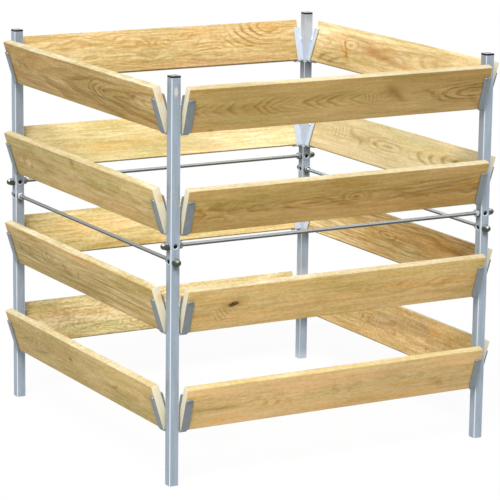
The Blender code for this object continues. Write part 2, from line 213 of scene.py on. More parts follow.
# Helper for materials: a thin layer over the shader nodes
class Nodes:
    def __init__(self, name):
        self.material = bpy.data.materials.new(name)
        self.material.use_nodes = True
        self.tree = self.material.node_tree
        self.shader = self.tree.nodes["Principled BSDF"]
        self.objectPoint = self.add("ShaderNodeTexCoord").outputs["Object"]

    def add(self, kind, **settings):
        node = self.tree.nodes.new(kind)
        for key, value in settings.items():
            setattr(node, key, value)
        return node

    def feed(self, socket, value):
        if isinstance(value, bpy.types.NodeSocket):
            self.tree.links.new(value, socket)
        else:
            socket.default_value = value

    def math(self, operation, *values):
        node = self.add("ShaderNodeMath", operation=operation)
        for socket, value in zip(node.inputs, values):
            self.feed(socket, value)
        return node.outputs[0]

    def times(self, first, second):
        return self.math("MULTIPLY", first, second)

    def plus(self, first, second):
        return self.math("ADD", first, second)

    def minus(self, first, second):
        return self.math("SUBTRACT", first, second)

    def timesPlus(self, value, factor, added):
        return self.math("MULTIPLY_ADD", value, factor, added)

    def size(self, value):
        return self.math("ABSOLUTE", value)

    def vector(self, operation, *values):
        node = self.add("ShaderNodeVectorMath", operation=operation)
        for socket, value in zip(node.inputs, values):
            self.feed(socket, value)
        return node.outputs["Value" if operation in ("LENGTH", "DOT_PRODUCT") else "Vector"]

    def split(self, point):
        node = self.add("ShaderNodeSeparateXYZ")
        self.feed(node.inputs[0], point)
        return node.outputs

    def join(self, x, y, z):
        node = self.add("ShaderNodeCombineXYZ")
        for socket, value in zip(node.inputs, (x, y, z)):
            self.feed(socket, value)
        return node.outputs[0]

    def noise(self, point, scale, detail, rough=0.5, output="Fac"):
        node = self.add("ShaderNodeTexNoise")
        self.feed(node.inputs["Vector"], point)
        node.inputs["Scale"].default_value = scale
        node.inputs["Detail"].default_value = detail
        node.inputs["Roughness"].default_value = rough
        return node.outputs[output]

    def waves(self, point, often, *fineness):  # a noise with its own count of waves per metre each way
        return self.noise(self.vector("MULTIPLY", point, often), 1.0, *fineness)

    def spread(self, value, low, high, newLow=0.0, newHigh=1.0):  # a soft step between two values
        node = self.add("ShaderNodeMapRange", interpolation_type="SMOOTHSTEP")
        for socket, entry in zip(node.inputs, (value, low, high, newLow, newHigh)):
            self.feed(socket, entry)
        return node.outputs[0]

    def mix(self, share, first, second, blend="MIX"):
        node = self.add("ShaderNodeMix", data_type="RGBA", blend_type=blend)
        self.feed(node.inputs["Factor"], share)
        for socket, colour in ((node.inputs["A"], first), (node.inputs["B"], second)):
            self.feed(socket, colour if isinstance(colour, bpy.types.NodeSocket) else (*colour, 1.0))
        return node.outputs["Result"]

    def tint(self, share, colour, tone):
        return self.mix(share, colour, tone, "MULTIPLY")

    def bump(self, height, distance, strength):
        node = self.add("ShaderNodeBump")
        node.inputs["Strength"].default_value = strength
        node.inputs["Distance"].default_value = distance
        self.feed(node.inputs["Height"], height)
        self.tree.links.new(node.outputs[0], self.shader.inputs["Normal"])

    def finish(self, **inputs):
        for key, value in inputs.items():
            name = {"colour": "Base Color", "roughness": "Roughness", "metallic": "Metallic",
                    "gloss": "Specular IOR Level"}[key]
            self.feed(self.shader.inputs[name], value)
        return self.material

    def warp(self, point, often, push, detail=2.0):  # pushes points about by a noise
        colour = self.waves(point, often, detail, 0.5, "Color")
        centred = self.vector("SUBTRACT", colour, (0.5, 0.5, 0.5))
        return self.vector("ADD", point, self.vector("MULTIPLY", centred, push))

    def spot(self, point, x, z, halfLength, halfHeight, lean=0.0):  # 1 at the spot's rim
        node = self.add("ShaderNodeMapping", vector_type="TEXTURE")
        self.feed(node.inputs["Vector"], point)
        node.inputs["Location"].default_value = (x, 0, z)
        node.inputs["Rotation"].default_value = (0, math.radians(lean), 0)
        node.inputs["Scale"].default_value = (halfLength, 1000, halfHeight)
        return self.vector("LENGTH", node.outputs[0])

    def hump(self, *place):  # 1 in the middle of a spot, fading to 0 around it
        far = self.spot(*place)
        return self.math("EXPONENT", self.times(self.times(far, far), -1.0))


# Pine's tones, which are multiplied into a board's own colour
pine = {
    "late": (0.60, 0.47, 0.27),
    "smoke": (0.62, 0.54, 0.36),
    "orange": (1.03, 0.83, 0.55),
    "cream": (1.12, 1.16, 1.28),
    "pale": (1.34, 1.42, 1.60),
    "brown": (0.74, 0.64, 0.60),
    "grey": (0.80, 0.76, 0.90),
    "green": (0.92, 0.99, 0.84),
    "pink": (1.00, 0.90, 0.98),
    "warm": (1.06, 1.01, 0.93),
    "cool": (0.93, 0.99, 0.98),
    "endGrain": (1.0, 0.93, 0.70),
    "endLate": (0.86, 0.62, 0.34),
    "deepen": (1.0, 1.45, 2.8),  # darker grain is richer: red, green and blue fall at these rates
    "knotDark": (0.050, 0.030, 0.012),
    "knotPale": (0.34, 0.22, 0.09),
    "hookShade": (0.22, 0.17, 0.12),
    "footShade": (0.50, 0.50, 0.46),  # where a far board's bottom edge turns under
    "roughness": (0.74, 0.60),  # early and late wood
    "gloss": 0.30,
    "fineRelief": 0.00030,
}
# How the grain's noises run: waves per metre along, through and up a board. Where two
# groups stand together, the second is how far in metres points are pushed.
grainRun = {
    "seedStep": (1.37, 2.11, 0.73),
    "loose": ((9.0, 5.0, 40.0), (0.012, 0.0, 0.0050)),
    "sway": ((26.0, 5.0, 85.0), (0.009, 0.0, 0.0030)),
    "slowRoll": ((11.0, 5.0, 30.0), (0.020, 0.0, 0.0090)),
    "quickRoll": ((30.0, 5.0, 85.0), (0.008, 0.0, 0.0045)),
    "ragged": ((130.0, 0.0, 130.0), (0.011, 0.0, 0.010)),
    "wander": (2.3, 0.6, 0.6),
    "uneasy": (24.0, 5.0, 70.0),
    "clouds": (2.6, 9.0, 13.0),
    "hues": (3.7, 7.0, 34.0),
    "broad": (6.0, 90.0, 110.0),
    "thin": (13.0, 260.0, 250.0),
    "fibres": (26.0, 900.0, 900.0),
    "short": (85.0, 60.0, 230.0),
    "cracks": 330.0,
}
# Spots on a board are (share along it from the left, share down it) as its shown face is
# seen: the outer face of the front and left boards, the inner face of the others.
# Lengths there are in millimetres.
plainBoard = {
    "outer": (0.80, 0.58, 0.26),
    "inner": (0.74, 0.54, 0.26),
    "pith": 45.0,  # how far behind the shown face the pith runs
    "slope": 0.0,  # how fast it comes nearer towards the right
    "centre": 0.5,
    "wander": 8.0,
    "ring": 4.5,
    "contrast": 0.5,
    "fade": (14.0, 42.0),  # rings blur from here to here, up and down from the pith
    "wide": 1.0,  # broad soft shades, fine lines and short flecks
    "lines": 1.5,
    "mottle": 1.6,
    "edge": (0.78, 0.67, 0.42),  # the planed top edge
    "waver": (2.0, 8.0, 30.0),  # rings pushed about: depth, then waves per metre each way
    "point": 0.0,  # above 0 the rings run to pointed tips, and the more so the larger it is
    "roll": 1.0,  # how much the arcs are bent about
    "resin": False,  # an orange patch on the sawn ends
    "shaded": None,  # share along where a hook beside it throws a thin shadow
    "calm": (),  # along, down, half length, half height, share: the rings fade there
    "swirls": (),  # along, down, half length, half height, depth: the grain bends aside
    "arcs": (),  # centre along, down, stretch, spacing, lean; patch along, down, halves, share
    "streaks": (),  # along, down, half length, half height, lean, tone, share
    "knots": (),  # along, down, half length, half height, lean, darkness
}


# One board's material: growth rings round a wandering pith line, then the figures, colours
# and marks that the board shows, layer on layer
class PineNodes(Nodes):
    def __init__(self, name, look, seed, shownInside):
        super().__init__(name)
        self.look = {**plainBoard, **look}
        self.seed = seed
        self.shownInside = shownInside
        self.mirror = -1 if shownInside else 1
        turned = self.add("ShaderNodeVectorRotate", rotation_type="X_AXIS")
        self.feed(turned.inputs["Vector"], self.objectPoint)
        turned.inputs["Angle"].default_value = -layout["tilt"]
        self.point = turned.outputs[0]
        self.x, self.y, self.z = self.split(self.point)
        self.seeded = self.vector("ADD", self.point, tuple(seed * step for step in grainRun["seedStep"]))
        offset = self.vector("SUBTRACT", self.seeded, self.point)
        self.loose = self.warp(self.seeded, *grainRun["loose"], 3.0)
        self.bent = self.vector("SUBTRACT", self.loose, offset)
        self.broad = self.waves(self.loose, grainRun["broad"], 2.0)
        self.clouds = self.waves(self.seeded, grainRun["clouds"], 3.0, 0.55)
        self.fibres = self.waves(self.seeded, grainRun["fibres"], 3.0, 0.6)

    def at(self, along, down):  # metres in the board's own frame
        return self.mirror * (along - 0.5) * board["length"], (1 - down) * board["width"]

    def patch(self, point, along, down, halfLength, halfHeight, lean=0):
        return self.hump(point, *self.at(along, down), halfLength / 1000, halfHeight / 1000,
                         lean * self.mirror)

    def pointed(self, around):  # rounds off the middle, so that the rings close in a tip
        tipRound, slim = 0.002, self.look["point"] / 1000
        if not slim:
            return around
        beside = self.vector("LENGTH", self.join(around, tipRound, 0.0))
        return self.math("POWER", self.timesPlus(beside, slim, -tipRound * slim), 0.5)

    def fromPith(self):  # a point's distance from the pith, and how far up or down from it
        look = self.look
        bentX, _, bentZ = self.split(self.warp(self.bent, *grainRun["sway"]))
        behind = self.timesPlus(bentX, -look["slope"] * self.mirror, look["pith"] / 1000)
        inwards = self.minus(board["thickness"], self.y) if self.shownInside else self.y
        behind = self.minus(behind, inwards)
        slow = self.waves(self.seeded, grainRun["wander"], 1.0)
        shift = self.timesPlus(slow, look["wander"] / 500, -look["wander"] / 1000)
        around = self.minus(bentZ, (1 - look["centre"]) * board["width"])
        around = self.plus(around, shift)
        radius = self.vector("LENGTH", self.join(behind, self.pointed(around), 0.0))
        depth, along, up = look["waver"]
        push = self.waves(self.seeded, (along, 1.0, up), 1.0)
        radius = self.plus(radius, self.timesPlus(push, depth / 500, -depth / 1000))
        for *place, depth in look["swirls"]:
            radius = self.timesPlus(self.patch(self.point, *place), depth / 1000, radius)
        return radius, around

    def growthRings(self):  # the rings themselves, and the late wood as it shows
        look = self.look
        radius, around = self.fromPith()
        uneven = self.noise(self.join(self.times(radius, 60.0), self.seed * 3.1, 0.0), 1.0, 1.0)
        count = self.timesPlus(radius, 1000 / look["ring"], self.times(uneven, 1.3))
        within = self.math("FRACT", count)
        rings = self.times(self.spread(within, 0.25, 0.85), self.spread(within, 0.86, 1.0, 1.0, 0.0))
        near, far = (part / 1000 for part in look["fade"])
        blur = self.spread(self.size(around), near, far, 1.0, 0.12)
        eachRing = self.join(self.math("FLOOR", count), self.times(self.x, 3.0), self.seed)
        strong = self.spread(self.noise(eachRing, 1.3, 1.0), 0.3, 0.7, 0.35, 1.0)
        late = self.times(self.times(rings, blur), strong)
        late = self.times(late, look["contrast"])
        for *place, share in look["calm"]:
            calm = self.timesPlus(self.patch(self.point, *place), -share, 1.0)
            late = self.times(late, calm)
        return rings, late

    def withArcs(self, late):  # arched figures take the rings' place in their own patches
        rolled, details = self.bent, (1.0, 2.0)
        for kind, detail in zip(("slowRoll", "quickRoll"), details):
            often, push = grainRun[kind]
            rolled = self.warp(rolled, often, tuple(part * self.look["roll"] for part in push), detail)
        uneasy = self.waves(self.seeded, grainRun["uneasy"], 2.0)
        for along, down, stretch, spacing, lean, *place, share in self.look["arcs"]:
            far = self.spot(rolled, *self.at(along, down), stretch, 1.0, lean * self.mirror)
            wave = self.math("SINE", self.times(far, 2000 * math.pi / spacing))
            wave = self.times(self.spread(wave, -0.2, 1.0),
                              self.spread(uneasy, 0.3, 0.6, 0.3 * share, share))
            patch = self.spread(self.patch(rolled, *place), 0.10, 0.70)
            late = self.plus(late, self.times(patch, self.minus(wave, late)))
        return late

    def ground(self):  # the board's own colour with its drifts of hue
        through = self.spread(self.y, 0.004, 0.016)
        colour = self.mix(through, self.look["outer"], self.look["inner"])
        drift = self.mix(self.spread(self.clouds, 0.32, 0.68), pine["cool"], pine["warm"])
        colour = self.tint(1.0, colour, drift)
        hues = self.noise(self.vector("MULTIPLY", self.seeded, grainRun["hues"]), 1.3, 3.0, 0.6)
        colour = self.tint(self.spread(hues, 0.52, 0.80, 0.0, 0.55), colour, pine["orange"])
        return self.tint(self.spread(hues, 0.48, 0.22, 0.0, 0.60), colour, pine["green"])

    def fineGrain(self):  # light and dark from broad lines, thin lines, fibres, flecks and clouds
        lines, mottle, wide = (self.look[key] for key in ("lines", "mottle", "wide"))
        thin = self.waves(self.loose, grainRun["thin"], 2.0, 0.6)
        short = self.waves(self.loose, grainRun["short"], 2.0, 0.6)
        dim = self.plus(self.spread(self.broad, 0.3, 0.7, 1 - 0.060 * lines, 1 + 0.045 * lines),
                        self.spread(thin, 0.3, 0.7, -0.065 * lines, 0.050 * lines))
        dim = self.plus(dim, self.spread(self.fibres, 0.25, 0.75, -0.06, 0.04))
        dim = self.plus(dim, self.spread(short, 0.3, 0.7, -0.055 * mottle, 0.050 * mottle))
        dim = self.plus(dim, self.spread(self.clouds, 0.32, 0.68, -0.055 * wide, 0.050 * wide))
        return self.join(*[self.math("POWER", dim, rate) for rate in pine["deepen"]])

    def withStreaks(self, colour):
        for *place, tone, share in self.look["streaks"]:
            broken = self.spread(self.broad, 0.3, 0.65, 0.65 * share, share)
            spot = self.times(self.patch(self.bent, *place), broken)
            colour = self.tint(spot, colour, pine[tone])
        return colour

    def withKnots(self, colour):
        for along, down, halfLength, halfHeight, lean, dark in self.look["knots"]:
            place, lean = self.at(along, down), lean * self.mirror
            halves = (halfLength / 1000, halfHeight / 1000)
            ragged = self.warp(self.point, *grainRun["ragged"], 3.0)
            halo = self.hump(ragged, *place, halves[0] * 2.2, halves[1] * 2.0, lean)
            colour = self.tint(self.times(halo, 0.7 * dark), colour, pine["late"])
            core = self.spread(self.spot(ragged, *place, *halves, lean), 1.15, 0.75)
            cracks = self.noise(ragged, grainRun["cracks"], 2.0)
            inner = self.mix(self.spread(cracks, 0.49, 0.60), pine["knotDark"], pine["knotPale"])
            colour = self.mix(self.times(core, dark), colour, inner)
        return colour

    def withShadows(self, colour):  # a hook's thin shadow, and the turned under foot of a far board
        if self.look["shaded"]:
            beside = self.at(self.look["shaded"], 0)[0]
            away = self.size(self.minus(self.x, beside))
            line = self.times(self.spread(away, 0.0022, 0.0006), self.spread(self.z, 0.100, 0.088))
            colour = self.tint(line, colour, pine["hookShade"])
        if self.shownInside:
            colour = self.tint(self.spread(self.z, 0.0034, 0.0016), colour, pine["footShade"])
        return colour

    def withEdges(self, colour, grain, rings, late):
        # the planed top edge is given a paler colour, the sawn ends are paler and drier
        above = self.spread(self.z, board["width"] - 0.0022, board["width"] - 0.0008)
        edge = self.tint(1.0, self.look["edge"], grain)
        edge = self.tint(self.times(late, 0.5), edge, pine["late"])
        colour = self.mix(above, colour, edge)
        sawn = self.mix(self.times(rings, 0.35), pine["endGrain"], pine["endLate"])
        if self.look["resin"]:
            level = self.size(self.minus(self.z, 0.086))
            resin = self.times(self.spread(level, 0.016, 0.005), self.spread(self.y, 0.004, 0.012))
            sawn = self.tint(resin, sawn, pine["orange"])
        halfLength = board["length"] / 2
        atEnd = self.spread(self.size(self.x), halfLength - 0.0008, halfLength - 0.0003)
        return self.mix(atEnd, colour, sawn)

    def planed(self):
        rings, late = self.growthRings()
        late = self.withArcs(late)
        grain = self.fineGrain()
        colour = self.withStreaks(self.tint(1.0, self.ground(), grain))
        colour = self.withKnots(self.tint(late, colour, pine["late"]))
        colour = self.withEdges(self.withShadows(colour), grain, rings, late)
        relief = self.plus(self.times(late, 0.35), self.times(self.fibres, 0.65))
        self.bump(relief, pine["fineRelief"], 0.5)
        return self.finish(colour=colour, roughness=self.spread(late, 0.0, 1.0, *pine["roughness"]),
                           gloss=pine["gloss"])


# What each board shows. Their numbers count from 1, the lowest.
boardLooks = {
    "front_4": {
        "outer": (0.732, 0.498, 0.196), "pith": 36, "slope": 0.075, "wander": 2.5, "ring": 2.3,
        "lines": 0.9, "mottle": 0.8, "wide": 1.8, "contrast": 0.76, "fade": (8, 25), "centre": 0.5,
        "waver": (1.8, 16.0, 50.0), "point": 18.0,
        "calm": ((0.7, 0.62, 60, 30, 1.0),),
        "arcs": (
            (0.46, 0.5, 1.2, 9.0, 0, 0.6, 0.5, 30, 11, 0.5),
            (0.955, 0.54, 5.0, 8.0, 0, 0.9, 0.52, 80, 26, 1.0),
        ),
        "streaks": (
            (0.665, 0.38, 28, 18, 20, "smoke", 0.9), (0.685, 0.5, 26, 7, 40, "smoke", 0.55),
            (0.82, 0.2, 200, 17, 0, "smoke", 0.42), (0.74, 0.72, 50, 14, 0, "pale", 0.32),
            (0.865, 0.8, 40, 9, 0, "pale", 0.32), (0.8, 0.5, 26, 5, 25, "smoke", 0.8),
            (0.835, 0.64, 16, 5, 50, "smoke", 0.6), (0.775, 0.44, 30, 3, -8, "smoke", 0.6),
            (0.955, 0.74, 24, 9, 40, "smoke", 0.75), (0.945, 0.4, 30, 3, -12, "smoke", 0.85),
            (0.86, 0.62, 30, 3, 30, "smoke", 0.6), (0.7, 0.58, 20, 6, 20, "smoke", 0.5),
            (0.2, 0.8, 150, 10, 0, "green", 0.9), (0.23, 0.53, 24, 9, 0, "orange", 0.6),
            (0.5, 0.03, 600, 8, 0, "smoke", 0.5), (0.18, 0.38, 110, 12, 0, "cream", 0.6),
            (0.5, 0.66, 120, 9, 0, "cream", 0.4), (0.085, 0.96, 7, 3, 0, "smoke", 1.0),
        ),
    },
    "front_3": {
        "outer": (0.69, 0.458, 0.169), "pith": 42, "slope": 0.0, "wander": 3, "ring": 3.0, "lines": 1.1,
        "mottle": 1.0, "wide": 1.4, "contrast": 0.8, "fade": (9, 30), "centre": 0.54,
        "waver": (2.6, 26.0, 60.0), "point": 10.0,
        "swirls": ((0.1, 0.58, 60, 300, 5.5),),
        "calm": ((0.38, 0.54, 90, 30, 0.8),),
        "arcs": (
            (1.3, -0.5, 10.0, 8.0, -9, 0.82, 0.42, 130, 24, 0.6),
            (0.4, 0.53, 7.0, 8.0, 0, 0.4, 0.53, 90, 15, 0.7),
            (0.555, 0.49, 2.6, 7.0, 0, 0.555, 0.49, 34, 13, 0.8),
        ),
        "streaks": (
            (0.556, 0.49, 16, 6, 0, "orange", 0.75), (0.552, 0.52, 13, 3.5, 0, "smoke", 0.9),
            (0.51, 0.5, 7, 9, 25, "smoke", 0.65), (0.595, 0.5, 7, 8, -30, "smoke", 0.65),
            (0.52, 0.66, 60, 9, 10, "smoke", 0.45), (0.56, 0.38, 44, 2.6, 3, "smoke", 0.6),
            (0.76, 0.33, 150, 2.6, -4, "smoke", 0.65), (0.84, 0.46, 140, 2.6, -8, "smoke", 0.7),
            (0.9, 0.52, 80, 7, -9, "orange", 0.95), (0.8, 0.82, 190, 12, 0, "orange", 0.55),
            (0.17, 0.33, 160, 18, 0, "green", 0.8), (0.15, 0.53, 26, 6, 0, "smoke", 0.55),
            (0.045, 0.6, 14, 7, 0, "orange", 0.6), (0.62, 0.75, 200, 14, 0, "pink", 0.4),
            (0.33, 0.46, 26, 2.8, -8, "smoke", 0.75), (0.35, 0.62, 34, 2.8, 8, "smoke", 0.65),
            (0.43, 0.53, 20, 4, -4, "smoke", 0.65), (0.72, 0.52, 40, 2.6, 12, "smoke", 0.45),
            (0.5, 0.97, 60, 3, 0, "cream", 0.4),
        ),
    },
    "front_2": {
        "outer": (0.96, 0.665, 0.295), "pith": 60, "slope": -0.01, "wander": 5, "ring": 4.2,
        "contrast": 0.4, "fade": (10, 30), "centre": 0.5, "waver": (5.0, 10.0, 34.0), "lines": 0.9,
        "mottle": 1.2, "wide": 1.3,
        "arcs": (
            (0.2, 0.3, 1.3, 8.0, 0, 0.112, 0.64, 26, 15, 0.8),
            (0.165, 0.42, 1.6, 8.0, 0, 0.205, 0.62, 24, 12, 0.55),
            (1.2, 0.46, 7.0, 8.0, -3, 0.76, 0.45, 130, 11, 0.45),
        ),
        "knots": ((0.153, 0.42, 15.0, 6.5, -12, 1.0),),
        "streaks": (
            (0.62, 0.14, 420, 15, 0, "green", 0.8), (0.4, 0.1, 200, 8, 0, "pink", 0.4),
            (0.64, 0.44, 180, 4.0, -3, "orange", 0.8), (0.8, 0.5, 90, 4.5, 3, "orange", 0.65),
            (0.55, 0.56, 110, 3.5, -3, "orange", 0.55), (0.86, 0.49, 14, 6, 60, "orange", 0.6),
            (0.91, 0.47, 60, 4.5, -12, "orange", 0.9), (0.46, 0.87, 9, 5, 70, "orange", 0.9),
            (0.03, 0.64, 30, 7, 0, "orange", 0.85), (0.22, 0.45, 36, 16, 0, "cream", 0.9),
            (0.7, 0.52, 30, 5, 0, "cream", 0.5), (0.86, 0.74, 130, 8, 0, "smoke", 0.3),
            (0.97, 0.55, 24, 30, 0, "smoke", 0.2), (0.1, 0.2, 90, 16, 0, "smoke", 0.15),
        ),
    },
    "front_1": {
        "outer": (1.0, 0.7, 0.335), "pith": 42, "slope": -0.05, "wander": 3, "ring": 3.4, "contrast": 0.3,
        "fade": (9, 20), "centre": 0.42, "edge": (0.78, 0.63, 0.32), "lines": 0.8, "mottle": 1.1,
        "wide": 1.0,
        "arcs": (
            (0.05, 0.58, 7.0, 5.0, 0, 0.28, 0.58, 60, 11, 0.5),
            (0.25, 0.56, 7.0, 5.0, 0, 0.51, 0.55, 44, 11, 0.4),
            (0.838, 0.6, 1.5, 5.0, 30, 0.848, 0.64, 24, 13, 0.9),
        ),
        "streaks": (
            (0.11, 0.57, 70, 5.0, 1, "smoke", 1.0), (0.1, 0.66, 80, 8, 0, "pink", 0.4),
            (0.045, 0.52, 14, 9, 0, "smoke", 0.5), (0.74, 0.6, 80, 6, 0, "orange", 0.8),
            (0.62, 0.84, 150, 9, 0, "orange", 0.35), (0.1, 0.86, 60, 9, 0, "orange", 0.45),
            (0.35, 0.25, 260, 20, 0, "pink", 0.75), (0.488, 0.45, 7, 22, 0, "smoke", 0.35),
            (0.68, 0.25, 30, 14, 0, "smoke", 0.3), (0.9, 0.25, 90, 24, 0, "orange", 0.2),
            (0.862, 0.72, 12, 7, 30, "smoke", 0.7), (0.835, 0.6, 16, 8, 0, "orange", 0.5),
            (0.85, 0.62, 8, 4, 0, "cream", 0.9), (0.03, 0.2, 30, 14, 0, "orange", 0.3),
        ),
    },
    "left_4": {
        "outer": (0.835, 0.59, 0.262), "pith": 40, "slope": 0.028, "wander": 2, "ring": 4.6,
        "contrast": 1.0, "fade": (24, 60), "centre": 0.53, "waver": (3.5, 4.0, 22.0), "lines": 1.6,
        "mottle": 1.4, "wide": 1.4, "point": 14.0, "roll": 0.35, "resin": True,
        "calm": ((0.36, 0.42, 80, 24, 1.0), (0.15, 0.55, 120, 60, 0.8)),
        "arcs": (
            (0.7, 0.47, 3.4, 8.0, 0, 0.615, 0.48, 42, 34, 1.0),
            (1.06, 0.42, 7.0, 8.0, 0, 0.88, 0.42, 50, 14, 0.8),
            (-0.05, 0.44, 4.0, 9.0, 0, 0.09, 0.42, 34, 14, 0.8),
        ),
        "streaks": (
            (0.115, 0.42, 24, 6, 22, "smoke", 0.85), (0.592, 0.47, 8, 15, 0, "smoke", 0.85),
            (0.648, 0.47, 24, 9, 0, "orange", 0.55), (0.66, 0.44, 24, 5, 0, "smoke", 0.75),
            (0.83, 0.38, 22, 8, 0, "smoke", 0.85), (0.37, 0.42, 50, 14, 0, "cream", 0.95),
            (0.5, 0.36, 90, 2.8, -9, "smoke", 0.75), (0.5, 0.62, 90, 2.8, 9, "smoke", 0.7),
            (0.2, 0.18, 160, 10, 0, "orange", 0.45), (0.12, 0.8, 120, 12, 0, "pink", 0.6),
            (0.88, 0.8, 100, 10, 0, "orange", 0.6), (0.93, 0.45, 40, 9, 0, "cream", 0.8),
            (0.5, 0.8, 300, 3, 3, "smoke", 0.5), (0.5, 0.03, 600, 5, 0, "smoke", 0.4),
            (0.75, 0.64, 180, 2.6, 1, "smoke", 0.7), (0.3, 0.62, 120, 2.6, 5, "smoke", 0.5),
            (0.75, 0.14, 150, 3, -3, "cream", 0.6),
        ),
    },
    "left_3": {
        "outer": (0.89, 0.675, 0.318), "pith": 60, "slope": 0.0, "wander": 8, "ring": 5.5,
        "contrast": 0.42, "waver": (7.0, 9.0, 30.0), "lines": 1.3, "mottle": 1.1, "wide": 1.4,
        "resin": True,
        "arcs": ((0.135, 0.56, 1.4, 10.0, 0, 0.13, 0.5, 30, 20, 0.75),),
        "streaks": (
            (0.14, 0.55, 7, 8, 30, "pale", 0.8), (0.115, 0.46, 14, 5, -20, "smoke", 1.0),
            (0.155, 0.66, 10, 4, -30, "smoke", 0.8), (0.105, 0.6, 5, 10, 0, "smoke", 0.7),
            (0.475, 0.12, 10, 15, 0, "smoke", 0.8), (0.28, 0.6, 50, 8, -5, "smoke", 0.65),
            (0.24, 0.4, 22, 3, 0, "smoke", 0.8), (0.7, 0.3, 200, 14, 0, "green", 0.95),
            (0.45, 0.62, 240, 2.6, 3, "smoke", 0.55), (0.8, 0.75, 120, 12, 0, "orange", 0.4),
            (0.5, 0.92, 500, 7, 0, "orange", 0.5), (0.2, 0.1, 150, 12, 0, "green", 0.5),
            (0.5, 0.42, 110, 3, 4, "cream", 0.8), (0.6, 0.5, 120, 2.6, 3, "smoke", 0.6),
            (0.4, 0.55, 30, 6, 0, "pink", 0.6), (0.86, 0.68, 30, 6, 10, "smoke", 0.5),
        ),
    },
    "left_2": {
        "outer": (0.835, 0.635, 0.304), "pith": 60, "slope": 0.0, "wander": 12, "ring": 6.5,
        "contrast": 0.45, "centre": 0.95, "fade": (50, 100), "waver": (3.0, 5.0, 20.0), "lines": 1.8,
        "mottle": 1.4, "wide": 1.8, "roll": 0.6, "resin": True,
        "arcs": (
            (0.31, 0.42, 2.0, 13, 0, 0.28, 0.46, 50, 20, 0.7),
            (0.47, 0.44, 2.4, 9.0, 0, 0.43, 0.56, 40, 18, 0.85),
            (0.0, 0.5, 5.0, 12, 0, 0.1, 0.5, 60, 16, 0.6),
        ),
        "streaks": (
            (0.485, 0.55, 5, 15, 25, "smoke", 0.9), (0.42, 0.64, 34, 4, 6, "smoke", 0.85),
            (0.15, 0.6, 80, 5, 8, "smoke", 0.8), (0.75, 0.62, 210, 2.4, 1, "smoke", 0.85),
            (0.8, 0.46, 180, 2.4, 2, "smoke", 0.75), (0.72, 0.8, 220, 2.6, 1, "smoke", 0.7),
            (0.5, 0.04, 600, 7, 0, "orange", 0.75), (0.26, 0.45, 14, 14, 0, "cream", 0.9),
            (0.31, 0.48, 10, 16, 20, "cream", 0.7), (0.58, 0.45, 30, 12, 0, "pink", 0.7),
            (0.12, 0.82, 90, 12, 0, "green", 0.6), (0.39, 0.47, 16, 5, 0, "smoke", 0.7),
            (0.19, 0.32, 26, 8, -15, "orange", 0.6), (0.75, 0.4, 170, 5, 2, "cream", 0.6),
        ),
    },
    "left_1": {
        "outer": (0.862, 0.645, 0.3), "pith": 60, "slope": -0.01, "wander": 10, "ring": 5.2,
        "contrast": 0.35, "waver": (6.0, 8.0, 26.0), "lines": 1.0, "mottle": 1.4, "wide": 1.4,
        "arcs": ((0.3, 0.46, 4.0, 8.0, -8, 0.2, 0.52, 52, 17, 0.5),),
        "knots": ((0.438, 0.43, 5.5, 4.0, 0, 0.7),),
        "streaks": (
            (0.22, 0.66, 60, 3, -8, "smoke", 0.75), (0.73, 0.54, 20, 5, -20, "smoke", 0.8),
            (0.85, 0.54, 22, 8, 0, "smoke", 0.45), (0.45, 0.24, 60, 12, 0, "smoke", 0.3),
            (0.75, 0.2, 90, 26, 0, "green", 0.6), (0.1, 0.52, 60, 3, -14, "smoke", 0.6),
            (0.97, 0.35, 30, 22, 0, "smoke", 0.45), (0.4, 0.7, 120, 12, 0, "green", 0.5),
            (0.37, 0.52, 30, 4, 0, "smoke", 0.45), (0.215, 0.48, 10, 12, 30, "cream", 0.7),
            (0.3, 0.9, 120, 5, -8, "smoke", 0.35),
        ),
    },
    "rear_4": {
        "inner": (0.83, 0.618, 0.304), "pith": 60, "slope": 0.0, "wander": 8, "ring": 5.4,
        "contrast": 0.75, "fade": (30, 70), "waver": (13.0, 10.0, 30.0), "lines": 1.4, "mottle": 1.5,
        "calm": ((0.29, 0.5, 60, 30, 0.7),),
        "arcs": (
            (0.885, 0.12, 2.1, 12.0, 4, 0.82, 0.34, 88, 36, 1.0),
            (0.53, 0.36, 2.8, 8.0, 0, 0.49, 0.4, 40, 14, 0.6),
            (0.67, 1.4, 1.5, 8.5, 0, 0.665, 0.52, 44, 20, 0.75),
        ),
        "streaks": (
            (0.47, 0.42, 26, 6, 0, "orange", 0.8), (0.7, 0.92, 330, 10, 0, "pink", 1.0),
            (0.7, 0.9, 330, 8, 0, "smoke", 0.34), (0.35, 0.62, 200, 12, 0, "cream", 0.35),
            (0.885, 0.12, 36, 8, 0, "orange", 0.9), (0.62, 0.14, 60, 8, 0, "orange", 0.5),
            (0.1, 0.12, 60, 8, 0, "smoke", 0.3), (0.515, 0.32, 5, 3, 0, "smoke", 1.0),
            (0.445, 0.32, 16, 4, 35, "smoke", 0.8), (0.47, 0.5, 26, 3, 6, "smoke", 0.65),
            (0.62, 0.44, 26, 4, -40, "smoke", 0.55), (0.8, 0.6, 110, 9, 10, "cream", 0.7),
        ),
    },
    "rear_3": {
        "inner": (1.0, 0.825, 0.462), "pith": 90, "slope": 0.0, "wander": 6, "ring": 7.0, "contrast": 0.3,
        "centre": 0.9, "fade": (60, 120), "waver": (7.0, 7.0, 20.0), "lines": 1.1, "mottle": 1.1,
        "wide": 1.5,
        "streaks": (
            (0.33, 0.6, 130, 11, 0, "orange", 0.8), (0.3, 0.74, 60, 4, 0, "orange", 0.7),
            (0.24, 0.33, 18, 4, 0, "smoke", 0.45), (0.45, 0.35, 120, 10, 0, "cream", 0.3),
            (0.78, 0.7, 190, 40, 0, "cream", 1.0), (0.8, 0.8, 150, 24, 0, "cream", 0.8),
